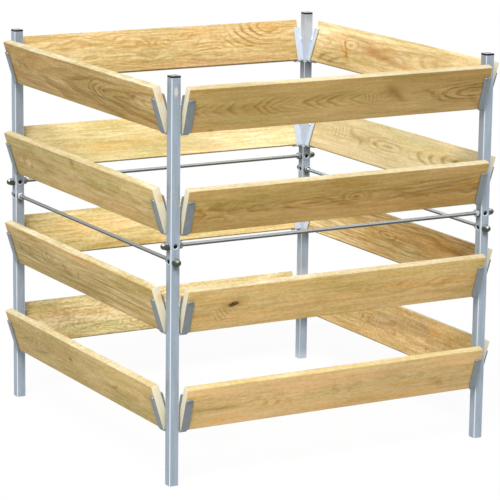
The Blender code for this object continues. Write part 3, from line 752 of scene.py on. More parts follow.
            (0.15, 0.3, 110, 20, 0, "cream", 0.6), (0.36, 0.56, 90, 3, 3, "smoke", 0.35),
        ),
    },
    "rear_2": {
        "inner": (1.0, 0.805, 0.422), "pith": 90, "slope": 0.01, "wander": 6, "ring": 7.0,
        "contrast": 0.3, "centre": 0.9, "fade": (60, 120), "waver": (7.0, 7.0, 20.0), "lines": 1.2,
        "mottle": 1.5, "wide": 2.0,
        "streaks": (
            (0.18, 0.45, 130, 16, 0, "orange", 0.45), (0.4, 0.75, 120, 12, 0, "cream", 0.25),
            (0.3, 0.15, 120, 10, 0, "green", 0.3),
        ),
    },
    "rear_1": {
        "inner": (1.0, 0.835, 0.49), "pith": 60, "slope": 0.0, "wander": 8, "ring": 6.0, "contrast": 0.78,
        "centre": 0.5, "fade": (60, 120), "waver": (15.0, 22.0, 44.0), "mottle": 1.7, "wide": 1.8,
        "calm": ((0.8, 0.3, 200, 200, 0.85),),
        "streaks": (
            (0.15, 0.45, 130, 22, 0, "pink", 0.6), (0.05, 0.25, 40, 10, 0, "orange", 0.5),
            (0.3, 0.8, 120, 12, 0, "green", 0.45), (0.15, 0.7, 60, 2.6, -8, "smoke", 0.6),
            (0.25, 0.75, 60, 2.6, -8, "smoke", 0.6),
        ),
    },
    "right_4": {
        "inner": (0.88, 0.672, 0.352), "pith": 60, "slope": 0.0, "wander": 8, "ring": 6.0,
        "contrast": 0.7, "waver": (12.0, 8.0, 30.0), "lines": 1.2, "mottle": 1.0, "wide": 2.2,
        "shaded": 0.018,
        "arcs": (
            (0.235, 0.4, 2.4, 11, 0, 0.225, 0.44, 44, 24, 0.9),
            (0.6, 1.2, 7.0, 8, 4, 0.14, 0.8, 80, 16, 1.0),
            (0.95, 0.36, 7.0, 9, 0, 0.66, 0.4, 80, 20, 0.45),
        ),
        "streaks": (
            (0.215, 0.62, 20, 9, 50, "orange", 1.0), (0.22, 0.66, 16, 6, 50, "smoke", 0.6),
            (0.235, 0.36, 18, 9, 0, "cream", 1.0), (0.215, 0.52, 34, 3, 8, "orange", 1.0),
            (0.2, 0.34, 8, 12, -10, "orange", 0.9), (0.193, 0.36, 4, 13, -10, "brown", 0.9),
            (0.225, 0.2, 26, 3, 0, "brown", 0.7), (0.24, 0.56, 20, 3, 8, "brown", 0.9),
            (0.35, 0.4, 60, 15, 2, "brown", 1.0), (0.45, 0.5, 100, 12, 4, "brown", 0.95),
            (0.38, 0.44, 80, 14, 4, "orange", 0.55), (0.07, 0.22, 70, 16, 0, "pale", 0.55),
            (0.35, 0.42, 56, 12, 2, "smoke", 0.4), (0.48, 0.56, 70, 6, 6, "smoke", 0.45),
            (0.215, 0.6, 14, 4, 50, "smoke", 0.7), (0.1, 0.88, 90, 2.6, 0, "smoke", 0.8),
            (0.3, 0.24, 40, 3, 3, "brown", 1.0), (0.55, 0.27, 150, 3, -3, "brown", 0.9),
            (0.58, 0.62, 60, 8, 8, "orange", 0.6), (0.08, 0.4, 70, 30, 0, "cream", 0.6),
            (0.53, 0.4, 26, 14, 0, "cream", 0.7), (0.7, 0.34, 50, 12, -4, "smoke", 0.25),
            (0.08, 0.78, 70, 3, 2, "smoke", 0.75), (0.15, 0.9, 90, 2.6, 0, "smoke", 0.6),
            (0.4, 0.08, 420, 9, -1, "pale", 0.9), (0.05, 0.5, 30, 50, 0, "cream", 0.8),
            (0.25, 0.96, 200, 7, 0, "brown", 0.4),
        ),
    },
    "right_3": {
        "inner": (0.79, 0.665, 0.395), "pith": 55, "slope": 0.0, "wander": 3, "ring": 5.0,
        "contrast": 0.35, "centre": 0.5, "fade": (9, 30), "waver": (8.0, 9.0, 30.0), "lines": 1.0,
        "mottle": 0.9, "roll": 0.5, "shaded": 0.018,
        "arcs": (
            (0.06, 0.47, 1.8, 10.0, 0, 0.175, 0.46, 42, 17, 0.7),
            (0.47, 0.47, 6.0, 9.0, 0, 0.45, 0.47, 90, 19, 0.8),
            (0.92, 0.43, 7.0, 8.0, 0, 0.67, 0.45, 70, 19, 0.85),
            (1.05, 0.38, 7.0, 8.0, 0, 0.81, 0.4, 60, 15, 0.9),
        ),
        "streaks": (
            (0.29, 0.47, 34, 7, 6, "smoke", 0.95), (0.31, 0.56, 9, 11, -20, "smoke", 0.65),
            (0.25, 0.42, 14, 7, 40, "smoke", 0.65), (0.24, 0.34, 14, 7, -40, "smoke", 0.45),
            (0.7, 0.3, 160, 4, 2, "orange", 0.6), (0.355, 0.46, 8, 8, 0, "smoke", 0.6),
            (0.15, 0.8, 150, 20, 0, "cream", 0.6), (0.6, 0.2, 200, 10, 0, "green", 0.6),
            (0.84, 0.36, 60, 3, -3, "smoke", 0.75),
        ),
    },
    "right_2": {
        "inner": (0.585, 0.424, 0.196), "pith": 70, "slope": 0.0, "wander": 5, "ring": 5.2,
        "contrast": 0.75, "centre": 0.45, "fade": (50, 100), "waver": (6.0, 7.0, 26.0), "lines": 2.2,
        "mottle": 1.2, "roll": 0.6, "shaded": 0.018,
        "arcs": (
            (0.48, 0.47, 4.4, 7.5, 0, 0.48, 0.47, 62, 14, 0.85),
            (0.42, -0.3, 3.0, 8.0, 0, 0.4, 0.74, 90, 14, 0.75),
        ),
        "streaks": (
            (0.5, 0.45, 26, 6, 0, "pale", 0.8), (0.44, 0.47, 16, 5, 0, "brown", 0.9),
            (0.5, 0.56, 46, 2.4, -2, "smoke", 0.8), (0.62, 0.42, 150, 8, 0, "pink", 0.6),
            (0.65, 0.43, 130, 7, 0, "smoke", 0.5), (0.62, 0.42, 150, 8, 0, "orange", 0.4),
            (0.06, 0.85, 130, 36, 0, "pale", 1.0), (0.1, 0.85, 130, 30, 0, "pale", 0.9),
            (0.27, 0.65, 100, 30, 0, "pale", 0.45), (0.9, 0.2, 130, 30, 0, "pink", 0.6),
            (0.8, 0.3, 170, 40, 0, "orange", 0.75), (0.4, 0.92, 120, 12, 0, "cream", 0.6),
        ),
    },
    "right_1": {
        "inner": (0.79, 0.56, 0.262), "pith": 60, "slope": 0.0, "wander": 10, "ring": 6.0,
        "contrast": 0.55, "waver": (14.0, 10.0, 28.0), "lines": 1.3, "mottle": 1.8,
        "arcs": ((0.38, 0.52, 2.2, 9.0, 0, 0.38, 0.52, 46, 18, 0.6),),
        "knots": ((0.73, 0.7, 4.2, 3.2, 0, 0.6),),
        "streaks": (
            (0.53, 0.36, 110, 24, -6, "grey", 1.0), (0.47, 0.42, 70, 22, 0, "cool", 0.8),
            (0.68, 0.34, 50, 20, 0, "grey", 0.85), (0.42, 0.6, 90, 12, 0, "grey", 0.6),
            (0.66, 0.36, 60, 18, 0, "cool", 0.6), (0.385, 0.54, 12, 9, 0, "smoke", 0.8),
            (0.345, 0.56, 9, 10, 0, "smoke", 0.6), (0.74, 0.3, 20, 12, 30, "orange", 0.8),
            (0.82, 0.3, 60, 10, 6, "orange", 0.75), (0.55, 0.78, 200, 9, 0, "cream", 0.9),
            (0.7, 0.62, 90, 7, 0, "cream", 0.8), (0.3, 0.9, 160, 6, 0, "smoke", 0.3),
        ),
    },
}


def boardMesh():  # modelled already leaning, so that a piece is only moved and turned square
    bm = bmesh.new()
    boxIn(bm, board["length"], board["thickness"], board["width"])
    bmesh.ops.translate(bm, vec=(0, board["thickness"] / 2, 0), verts=bm.verts)
    soften(bm, [edge for edge in bm.edges if span(edge, 0) > board["length"] / 2], board["rounding"], 5)
    soften(bm, [edge for edge in bm.edges if span(edge, 0) < 1e-6], board["endArris"], 2)
    lean = Matrix.Rotation(layout["tilt"], 3, "X")
    bmesh.ops.rotate(bm, cent=(0, 0, 0), matrix=lean, verts=bm.verts)
    return withSlot(meshFrom(bm, "board", 50))


planedBoard = boardMesh()
for side, sideName in enumerate(layout["sideNames"]):
    for tier, height in enumerate(tierHeights):
        name = f"{sideName}_{tier + 1}"
        seed = 7.0 + side * 4.3 + tier * 1.9
        wood = PineNodes(f"pine_{name}", boardLooks[name], seed, sideName in ("rear", "right")).planed()
        foot = Matrix.Translation((0, -reach - postHalf - layout["standoff"], height))
        addPiece(f"plank_{name}", planedBoard, wood, sideTurns[side] @ foot, f"board_{name}",
                 f"board_{name}")
print("boards done:", len(boardLooks))

# End caps' sizes and tones; their black is also painted on the tubes' rims as painted shadow under the
# caps
cap = {
    "head": 0.003,
    "rim": 0.0008,
    "sink": 2e-6,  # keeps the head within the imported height
    "plugDepth": 0.014,
    "plugWidth": 0.0186,
    "plugWall": 0.0016,
    "plugCorner": 0.0022,
    "black": (0.004, 0.004, 0.005),
    "dusty": (0.012, 0.012, 0.013),
    # the cap's top face drawn pale: a painted sheen
    "topSheen": (0.40, 0.41, 0.43),
    "roughness": (0.45, 0.60),
    "gloss": 0.15,
    "relief": 0.0001,
}

# Galvanised steel: dull zinc with a faint spangle, runs and handling marks
zinc = {
    "spangle": (160.0, 160.0, 90.0),  # waves per metre each way, as for the next two
    "runs": (90.0, 90.0, 9.0),
    "marks": (420.0, 420.0, 35.0),
    "relief": 0.0003,
    "mouth": (0.88, 0.90, 0.93),  # painted highlight on the rim of each hole, low on one side
    "mouthGlintRadius": 0.0078,
    # painted shade inside each hole's mouth
    "bore": (0.03, 0.032, 0.034),
    "holeShadeRadius": 0.0060,
    "sunlitZinc": (0.60, 0.68, 0.80),  # painted sunlight on the far corner's strips and on the tube between them
    "sunlitFrom": (0.10, 0.14),  # painted sunlight, from here to here below each tier there
    "footShadow": (0.13, 0.145, 0.14),  # painted shadow on the tube below each foot there
    "footShadowReach": 0.065,
    # the far tack welds are darker below these levels
    "weldLowerEnd": (0.22, 0.24, 0.24),
    "lowerEndLevels": (0.0625, 0.0605),
    "nutShadow": (0.13, 0.145, 0.125),  # painted shadow under the nuts
    "nutShadowTop": (0.005, 0.009),  # below a nut's middle: fades in, then out
    "nutShadowFoot": (0.027, 0.013),
    "nutShadowSides": (0.0095, 0.0040),
    "nutShadowFace": (0.0118, 0.0122),  # out from the tube's middle: only its outer faces get the painted shadow
    # painted highlight along the tubes' corners, fading in between these distances out from the middle
    "cornerHighlightFrom": (0.0100, 0.0114),
    "capShadowFrom": (0.0016, 0.0010),  # painted shadow under the cap, from here to here below the tube's upper end
    "markColour": (0.80, 0.80, 0.86),
    "markPlace": (-0.0005, -postHalf, 0.963),  # a pale oval on one face of the front left post, brownish towards its lower end
    "markHalves": (0.0050, 0.004, 0.0155),
    "markRagged": ((160.0, 160.0, 160.0), (0.003, 0.0, 0.006)),
    "ovalTailColour": (0.34, 0.28, 0.24),
}
plainZinc = {
    "bright": (0.445, 0.53, 0.635),
    "darkTone": (0.34, 0.415, 0.495),
    "roughness": 0.45,
    "metallic": 0.25,
    "pale": False,  # painted sunlight and shadow on the far corner's tube
    "corner": None,  # painted highlight colour along a tube's corners
    "nutsAcross": (lowerRod, upperRod),  # levels of the nuts on a tube's X faces and on its Y faces
    "marked": False,
    "darkLowerEnd": False,
}
zincLooks = {
    # corner: the painted highlight colour along each tube's corners
    "post": {"corner": (0.86, 0.92, 1.00)},
    "post_marked": {"corner": (0.86, 0.92, 1.00), "marked": True, "nutsAcross": (upperRod, lowerRod)},
    "post_far": {"corner": (0.62, 0.68, 0.75), "pale": True, "nutsAcross": (upperRod, lowerRod)},
    # the far corner's strips: painted sunlight
    "strip_far": {"bright": (0.74, 0.83, 0.96), "darkTone": zinc["sunlitZinc"], "metallic": 0.10},
    "strip": {"bright": (0.305, 0.342, 0.370), "darkTone": (0.222, 0.252, 0.270), "roughness": 0.42,
              "metallic": 0.35},
    "weld": {"roughness": 0.34, "metallic": 0.45},
    # the far welds: white painted highlight
    "weld_far": {"bright": (0.95, 0.98, 1.00), "darkTone": (0.95, 0.98, 1.00), "roughness": 0.34,
                 "metallic": 0.05, "darkLowerEnd": True},
}


class ZincNodes(Nodes):
    def __init__(self, name, look):
        super().__init__(name)
        self.look = {**plainZinc, **look}
        self.x, self.y, self.z = self.split(self.objectPoint)
        self.near = self.math("MINIMUM", self.size(self.x), self.size(self.y))
        self.runs = self.waves(self.objectPoint, zinc["runs"], 3.0, 0.6)
        self.marks = self.waves(self.objectPoint, zinc["marks"], 3.0, 0.65)

    def sheet(self):
        spangle = self.add("ShaderNodeTexVoronoi")
        self.feed(spangle.inputs["Vector"], self.vector("MULTIPLY", self.objectPoint, zinc["spangle"]))
        flakes = self.split(spangle.outputs["Color"])[0]
        share = self.plus(self.times(flakes, 0.22), self.times(self.runs, 0.80))
        share = self.plus(share, self.timesPlus(self.marks, 0.3, -0.15))
        return self.mix(self.spread(share, 0.25, 0.85), self.look["darkTone"], self.look["bright"])

    # painted sunlight on the far tube between its tiers, painted shadow below each hook's foot
    def withLitAndShadedTiers(self, colour):
        pitch = layout["tierPitch"]
        below = self.timesPlus(self.z, -1 / pitch, topTier / pitch)
        below = self.times(self.math("FRACT", below), pitch)
        colour = self.mix(self.spread(below, *zinc["sunlitFrom"]), colour, zinc["sunlitZinc"])
        uneven = self.spread(self.runs, 0.3, 0.7, 0.75, 1.0)
        shadowUnderFoot = self.times(self.spread(below, zinc["footShadowReach"], 0.0), uneven)
        return self.mix(shadowUnderFoot, colour, zinc["footShadow"])

    # painted shadow that a nut throws down the tube's face below it
    def nutShadow(self, level, side, outwards):
        drop = self.minus(level, self.z)
        shadowBelow = self.times(self.spread(drop, *zinc["nutShadowTop"]), self.spread(drop, *zinc["nutShadowFoot"]))
        across = self.spread(self.size(side), *zinc["nutShadowSides"])
        outside = self.spread(self.size(outwards), *zinc["nutShadowFace"], 0.0, 0.85)
        return self.times(self.times(shadowBelow, across), outside)

    # painted highlight on the lower rim of a hole, painted shade within it
    def withHole(self, colour, level):
        drop = self.minus(level, self.z)
        away = self.vector("LENGTH", self.join(self.near, drop, 0.0))
        rim = self.times(self.spread(away, zinc["mouthGlintRadius"], zinc["mouthGlintRadius"] - 0.0004),
                         self.spread(drop, -0.002, 0.002))
        colour = self.mix(rim, colour, zinc["mouth"])
        inside = self.spread(away, zinc["holeShadeRadius"], zinc["holeShadeRadius"] - 0.0004)
        return self.mix(inside, colour, zinc["bore"])

    # painted light and shade on a tube: corner highlight, shadows under nuts and cap, lit hole rims
    def withPaintedTubeLight(self, colour):
        # painted highlight along the tube's corners
        colour = self.mix(self.spread(self.near, *zinc["cornerHighlightFrom"]), colour, self.look["corner"])
        # painted shadows under the nuts
        for level, side, outwards in zip(self.look["nutsAcross"], (self.y, self.x), (self.x, self.y)):
            colour = self.mix(self.nutShadow(level, side, outwards), colour, zinc["nutShadow"])
        # painted shadow under the cap, in the cap's black
        rim = self.spread(self.z, *(post["height"] - below for below in zinc["capShadowFrom"]))
        colour = self.mix(rim, colour, cap["black"])
        for level in (upperRod, lowerRod):
            colour = self.withHole(colour, level)
        return colour

    # a pale oval patch, brownish towards its lower end
    def withPaleOval(self, colour):
        away = self.vector("SUBTRACT", self.warp(self.objectPoint, *zinc["markRagged"]), zinc["markPlace"])
        halves = tuple(1 / part for part in zinc["markHalves"])
        ring = self.vector("LENGTH", self.vector("MULTIPLY", away, halves))
        lower = self.spread(self.split(away)[2], -0.002, -0.010)
        ovalTone = self.mix(self.times(lower, 0.6), zinc["markColour"], zinc["ovalTailColour"])
        return self.mix(self.spread(ring, 1.15, 0.75, 0.0, 0.85), colour, ovalTone)

    def galvanised(self):
        look = self.look
        colour = self.sheet()
        if look["pale"]:
            colour = self.withLitAndShadedTiers(colour)
        if look["corner"]:
            colour = self.withPaintedTubeLight(colour)
        # the far tack welds turn darker towards their lower end
        if look["darkLowerEnd"]:
            colour = self.mix(self.spread(self.z, *zinc["lowerEndLevels"]), colour, zinc["weldLowerEnd"])
        if look["marked"]:
            colour = self.withPaleOval(colour)
        rough = self.spread(self.runs, 0.3, 0.7, look["roughness"] + 0.06, look["roughness"] - 0.05)
        self.bump(self.plus(self.runs, self.times(self.marks, 0.3)), zinc["relief"], 0.4)
        return self.finish(colour=colour, roughness=rough, metallic=look["metallic"])


zincFinish = {kind: ZincNodes(f"galvanised_{kind}", look).galvanised() for kind, look in zincLooks.items()}


# Posts: square tube with softened corners, drilled both ways at both rod heights
def squareTube(name, width, wall, corner, low, high):
    bm = bmesh.new()
    boxIn(bm, width, width, high - low, low)
    ends = [face for face in bm.faces if abs(face.normal.z) > 0.5]
    bmesh.ops.delete(bm, geom=ends, context="FACES_ONLY")
    soften(bm, uprightEdges(bm), corner, 6)
    return shaped(meshFrom(bm, name),
                  ("SOLIDIFY", {"thickness": wall, "offset": -1, "use_even_offset": True}))


def drill(height, axis):  # straight through, opening out where it meets the outer faces
    radius, mouth, beyond = post["holeRadius"], post["holeMouth"], 0.001
    half = [(postHalf + beyond, radius + mouth + beyond), (postHalf - mouth, radius)]
    profile = [(-far, size) for far, size in half] + half[::-1]
    rings = [ringPoints(size, level, post["holeSteps"]) for level, size in profile]
    cutter = bpy.data.objects.new("drill", loftMesh("drill", rings))
    cutter.matrix_world = Matrix.Translation((0, 0, height)) @ Matrix.Rotation(math.pi / 2, 4, axis)
    bpy.context.scene.collection.objects.link(cutter)
    return cutter


def postMesh():
    tube = squareTube("tube", post["width"], post["wall"], post["corner"], 0, post["height"])
    drills = [drill(height, axis) for height in (upperRod, lowerRod) for axis in "XY"]
    mesh = shaped(tube, *[("BOOLEAN", {"operation": "DIFFERENCE", "object": cutter, "solver": "EXACT"})
                          for cutter in drills])
    for cutter in drills:
        bpy.data.objects.remove(cutter, do_unlink=True)
    return withSlot(mesh)


def cornerPlace(index, height=0.0):
    return sideTurns[index] @ Matrix.Translation((-reach, -reach, height))


drilledTube = postMesh()
tubeFinish = {"front_left": "post_marked", "rear_right": "post_far"}
for index, corner in enumerate(layout["cornerNames"]):
    finish = zincFinish[tubeFinish.get(corner, "post")]
    addPiece(f"tube_{corner}", drilledTube, finish, cornerPlace(index), "frame",
             f"post_{corner}")
print("posts done")


# Hooks: a strip of 3 mm sheet with rounded ends, bent round the board's foot
hook = {
    "sheet": 0.003,
    "width": 0.024,
    "bend": 0.002,
    "innerRounding": 0.0035,
    "outerRounding": 0.0075,
    "innerBelowTop": 0.023,
    "outerBelowTop": 0.027,
    "lip": 0.005,
    "lipAngle": math.radians(28),
    "inset": 0.004,  # the outer leg's distance from the post
    "innerWidth": 0.018,
    "waist": 0.0055,  # how much narrower the strip is where the outer leg starts
    "waistLength": 0.009,
    "waistSteps": 6,
    "play": 0.0004,
    "bendSteps": 7,
    "lipSteps": 4,
    "punched": 0.0004,  # softened edge
}


def hookPath():
    middle = hook["bend"] + hook["sheet"] / 2
    lowest = layout["touch"] + hook["sheet"] / 2
    inner = board["width"] - hook["innerBelowTop"] + lowest - middle
    outer = board["width"] - hook["outerBelowTop"] + lowest - middle - hook["lip"]
    floor = board["thickness"] + 2 * hook["play"] + hook["sheet"] - 2 * middle
    quarter = middle * math.pi / 2
    return [(inner, 0), (quarter, math.pi / 2), (floor, 0), (quarter, math.pi / 2), (outer, 0),
            (middle * hook["lipAngle"], -hook["lipAngle"]), (hook["lip"], 0)]


def onPath(path, distance):  # (out, up) from the board's bottom outer edge, and the heading
    at = Vector((-board["thickness"] - hook["play"] - hook["sheet"] / 2,
                 board["width"] - hook["innerBelowTop"]))
    heading = -math.pi / 2
    for length, turn in path:
        part = min(distance, length)
        turned = turn * part / length
        if turn:
            radius = length / turn
            at += Vector((math.sin(heading + turned) - math.sin(heading),
                          math.cos(heading) - math.cos(heading + turned))) * radius
        else:
            at += Vector((math.cos(heading), math.sin(heading))) * part
        heading += turned
        distance -= part
        if distance <= 0:
            break
    return at, heading


def tilted(side, out, up, swapped):  # into the post's frame, at tier height 0
    away = -postHalf - layout["standoff"] - out * tiltCos - up * tiltSin
    level = -out * tiltSin + up * tiltCos
    return Vector((away, side, level) if swapped else (side, away, level))


def stripGrid(path):  # the flat strip with rounded ends, cut across wherever it will bend
    total = sum(length for length, _ in path)
    bm = bmesh.new()
    bmesh.ops.create_grid(bm, x_segments=1, y_segments=1, size=0.5)
    bmesh.ops.scale(bm, vec=(hook["width"], total, 1), verts=bm.verts)
    bmesh.ops.translate(bm, vec=(hook["width"] / 2, total / 2, 0), verts=bm.verts)
    for end, rounding in ((0, hook["innerRounding"]), (total, hook["outerRounding"])):
        corners = [vert for vert in bm.verts if abs(vert.co.y - end) < 1e-6]
        bmesh.ops.bevel(bm, geom=corners, offset=rounding, segments=8, profile=0.5, affect="VERTICES")
    outerEnd = sum(length for length, _ in path[:4])
    steps = hook["waistSteps"]
    folds = [outerEnd + hook["waistLength"] * step / steps for step in range(1, steps + 1)]
    start = 0.0
    for length, turn in path:
        if turn:
            steps = hook["bendSteps"] if turn > 0 else hook["lipSteps"]
            folds += [start + length * step / steps for step in range(steps + 1)]
        start += length
    for fold in folds:
        bmesh.ops.bisect_plane(bm, geom=bm.verts[:] + bm.edges[:] + bm.faces[:], dist=1e-6,
                               plane_co=(0, fold, 0), plane_no=(0, 1, 0))
    return bm


def hookMesh(name, swapped):
    path = hookPath()
    outerStart = sum(length for length, _ in path[:3])
    outerEnd = outerStart + path[3][0]
    bm = stripGrid(path)
    for vert in bm.verts:
        across, distance, _ = vert.co
        share = min(max((distance - outerStart) / (outerEnd - outerStart), 0), 1)
        beyond = min(max(distance - outerEnd, 0) / hook["waistLength"], 1)
        narrow = hook["waist"] * share * (1 - math.sqrt(1 - (1 - beyond) ** 2))
        near = hook["inset"] * share
        far = hook["innerWidth"] + (hook["width"] - hook["innerWidth"]) * share - narrow
        across = near + across * (far - near) / hook["width"]
        (out, up), _ = onPath(path, distance)
        vert.co = tilted(postHalf + across, out, up, swapped)
    mesh = shaped(
        meshFrom(bm, name),
        ("SOLIDIFY", {"thickness": hook["sheet"], "offset": 0, "use_even_offset": True}),
        ("BEVEL", {"width": hook["punched"], "segments": 2, "limit_method": "ANGLE",
                   "angle_limit": math.radians(50)}),
    )
    return withSlot(mesh)


# Welds: a thick tack where the inner leg leaves the post, and a bead under the foot
weld = {
    "tackRadius": 0.0023,
    "beadRadius": 0.0017,
    "beadBeyond": 0.001,  # past the foot at both ends
    "ripple": 0.0014,
    "rippleSteps": 4,
    "rippleHeight": 0.13,  # share of the radius, as is the next
    "shaky": 0.05,
    "columns": 10,
    "tackFrom": 0.023,  # along the strip
    "tackTo": 0.037,
    "seed": 5,
}


def weldMesh(name, swapped):
    path = hookPath()
    floorFrom = path[0][0] + path[1][0]
    floorTo = floorFrom + path[2][0]
    bm = bmesh.new()
    hand = random.Random(weld["seed"])
    for start, end, thick in ((weld["tackFrom"], weld["tackTo"], weld["tackRadius"]),
                              (floorFrom - weld["beadBeyond"], floorTo + weld["beadBeyond"],
                               weld["beadRadius"])):
        steps = int((end - start) / weld["ripple"] * weld["rippleSteps"])
        rows = []
        for step in range(steps + 1):
            share = step / steps
            (out, up), heading = onPath(path, start + (end - start) * share)
            outwards = Vector((math.sin(heading), -math.cos(heading)))  # convex side of the bend
            middle = Vector((out, up)) + outwards * (hook["sheet"] / 2)
            taper = math.sqrt(max(1 - (2 * share - 1) ** 8, 0.0001))
            wave = weld["rippleHeight"] * math.sin(2 * math.pi * step / weld["rippleSteps"])
            size = thick * taper * (1 + wave + hand.uniform(-weld["shaky"], weld["shaky"]))
            row = []
            for column in range(weld["columns"]):
                angle = 2 * math.pi * column / weld["columns"]
                spot = middle + outwards * (size * math.cos(angle))
                row.append(bm.verts.new(tilted(postHalf + size * math.sin(angle), *spot, swapped)))
            rows.append(row)
        joinRows(bm, rows)
        bm.faces.new(rows[0])
        bm.faces.new(rows[-1])
    return withSlot(meshFrom(bm, name, 80))


for swapped, hand in ((False, "a"), (True, "b")):
    strip = hookMesh(f"hook_{hand}", swapped)
    bead = weldMesh(f"weld_{hand}", swapped)
    for index, corner in enumerate(layout["cornerNames"]):
        far = "_far" if corner == "rear_right" else ""
        for tier, height in enumerate(tierHeights):
            place = cornerPlace(index, height)
            tag = f"{corner}_{tier + 1}{hand}"
            for kind, mesh, finish in (("hook", strip, "strip"), ("weld", bead, "weld")):
                addPiece(f"{kind}_{tag}", mesh, zincFinish[finish + far], place, "frame",
                         f"post_{corner}")
print("hooks and welds done")


# End caps: moulded heads on hollow plugs
def capMesh():
    bm = bmesh.new()
    boxIn(bm, post["width"], post["width"], cap["head"])
    soften(bm, uprightEdges(bm), post["corner"], 6)
    rim = [edge for edge in bm.edges if min(vert.co.z for vert in edge.verts) > cap["head"] / 2]
    soften(bm, rim, cap["rim"], 4)
    plug = squareTube("plug", cap["plugWidth"], cap["plugWall"], cap["plugCorner"],
                      -cap["plugDepth"], cap["head"] / 2)
    bm.from_mesh(plug)
    return withSlot(meshFrom(bm, "cap"))


def blackPlastic():
    nodes = Nodes("black_plastic")
    grain = nodes.noise(nodes.objectPoint, 900.0, 3.0, 0.6)
    dust = nodes.noise(nodes.objectPoint, 120.0, 3.0, 0.6)
    colour = nodes.mix(nodes.spread(dust, 0.45, 0.8), cap["black"], cap["dusty"])
    level = nodes.split(nodes.objectPoint)[2]
    # the top face is drawn paler: a painted sheen
    above = nodes.spread(level, cap["head"] - 0.0005, cap["head"])
    sheenShare = nodes.times(above, nodes.spread(dust, 0.2, 0.6, 0.6, 1.0))
    colour = nodes.mix(sheenShare, colour, cap["topSheen"])
    nodes.bump(grain, cap["relief"], 0.35)
    rough = nodes.spread(dust, 0.3, 0.7, *cap["roughness"])
    return nodes.finish(colour=colour, roughness=rough, gloss=cap["gloss"])


cappedHead = capMesh()
capBlack = blackPlastic()
for index, corner in enumerate(layout["cornerNames"]):
    place = cornerPlace(index, post["height"] + layout["touch"] - cap["sink"])
    addPiece(f"end_cap_{corner}", cappedHead, capBlack, place, "frame", f"cap_{corner}")
print("caps done")


# Tie rods: plain zinc plated bar, threaded at both ends
rod = {
    "radius": 0.005,
    "shank": 0.0049,
    "root": 0.00424,
    "pitch": 0.0015,
    "threadLength": 0.055,
    "columns": 20,
    "rowsPerTurn": 8,
    "bite": 0.0115,  # inside a cap nut
    "chamfer": 0.001,
}
washer = {
    "radius": 0.010,
    "bore": 0.0052,
    "height": 0.002,
    "edge": 0.0002,
    "columns": 48,
}
nut = {
    "flat": 0.0085,
    "height": 0.008,
    "face": 0.00805,
    "chamfer": math.radians(30),
    "bore": 0.00508,
    "mouth": 0.0007,
    "columns": 96,
    "domeRadius": 0.008,
    "domeHeight": 0.018,
    "domeSteps": 12,
    "domeFoot": 0.0002,
    "blindDepth": 0.0140,
    "drillTip": ((0.0, 0.0), (0.003048, 0.001), (0.00508, 0.0025)),  # radius, and how far down from there
    "least": 0.00001,  # radius of a ring that closes in a point
}
washerSeat = postHalf + layout["touch"]
nutSeat = washerSeat + washer["height"] + layout["touch"]
rodHalf = reach + nutSeat + rod["bite"]


def rodMesh():
    columns = rod["columns"]
    tipRadius = rod["root"] - rod["chamfer"] / 2
    rowGap = rod["pitch"] / rod["rowsPerTurn"]
    threaded = [rodHalf - rod["threadLength"] + rowGap * row
                for row in range(int(rod["threadLength"] / rowGap))]
    rings = [ringPoints(tipRadius, -rodHalf, columns)]
    for level in [-level for level in reversed(threaded)] + threaded:
        near = rodHalf - abs(level)
        fade = min(max((rod["threadLength"] - near) / rod["pitch"], 0), 1)
        tip = min(near / rod["chamfer"], 1)

        def radius(angle, level=level, fade=fade, tip=tip):
            turn = (level / rod["pitch"] - angle / (2 * math.pi)) % 1
            crest = min(max((1 - abs(2 * turn - 1)) * 1.35 - 0.12, 0), 1)
            thread = rod["root"] + (rod["radius"] - rod["root"]) * crest
            full = rod["shank"] + (thread - rod["shank"]) * fade
            return tipRadius + (full - tipRadius) * tip

        rings.append(ringPoints(radius, level, columns))
    rings.append(ringPoints(tipRadius, rodHalf, columns))
    return withSlot(loftMesh("rod", rings, False, 50))


def hexRadius(angle):
    return nut["flat"] / math.cos(angle % (math.pi / 3) - math.pi / 6)


def cornerDrop(angle):
    return (hexRadius(angle) - nut["face"]) * math.tan(nut["chamfer"])


def cornerLevel(angle):
    return nut["height"] - cornerDrop(angle)


hexRows = [(nut["bore"] + nut["mouth"], 0), (nut["face"], 0), (hexRadius, cornerDrop),
           (hexRadius, cornerLevel), (nut["face"], nut["height"])]


def nutMesh():
    height, bore, mouth = nut["height"], nut["bore"], nut["mouth"]
    rows = [(bore, mouth), *hexRows, (bore + mouth, height), (bore, height - mouth)]
    return withSlot(loftMesh("nut", [ringPoints(*row, nut["columns"]) for row in rows], True, 25))


def capNutMesh():
    radius = nut["domeRadius"]
    shoulder = nut["domeHeight"] - radius
    rows = [(max(wide, nut["least"]), nut["blindDepth"] - down) for wide, down in nut["drillTip"]]
    rows += [(nut["bore"], nut["mouth"]), *hexRows, (radius, nut["height"] + nut["domeFoot"])]
    for step in range(nut["domeSteps"] + 1):
        angle = math.pi / 2 * (1 - step / nut["domeSteps"])
        rows.append((max(radius * math.sin(angle), nut["least"]), shoulder + radius * math.cos(angle)))
    return withSlot(loftMesh("cap_nut", [ringPoints(*row, nut["columns"]) for row in rows], False, 25))


def washerMesh():
    far, bore, height, edge = (washer[key] for key in ("radius", "bore", "height", "edge"))
    rows = [(bore, edge), (bore + edge, 0), (far - edge, 0), (far, edge), (far, height - edge),
            (far - edge, height), (bore + edge, height), (bore, height - edge)]
    return withSlot(loftMesh("washer", [ringPoints(*row, washer["columns"]) for row in rows], True, 40))


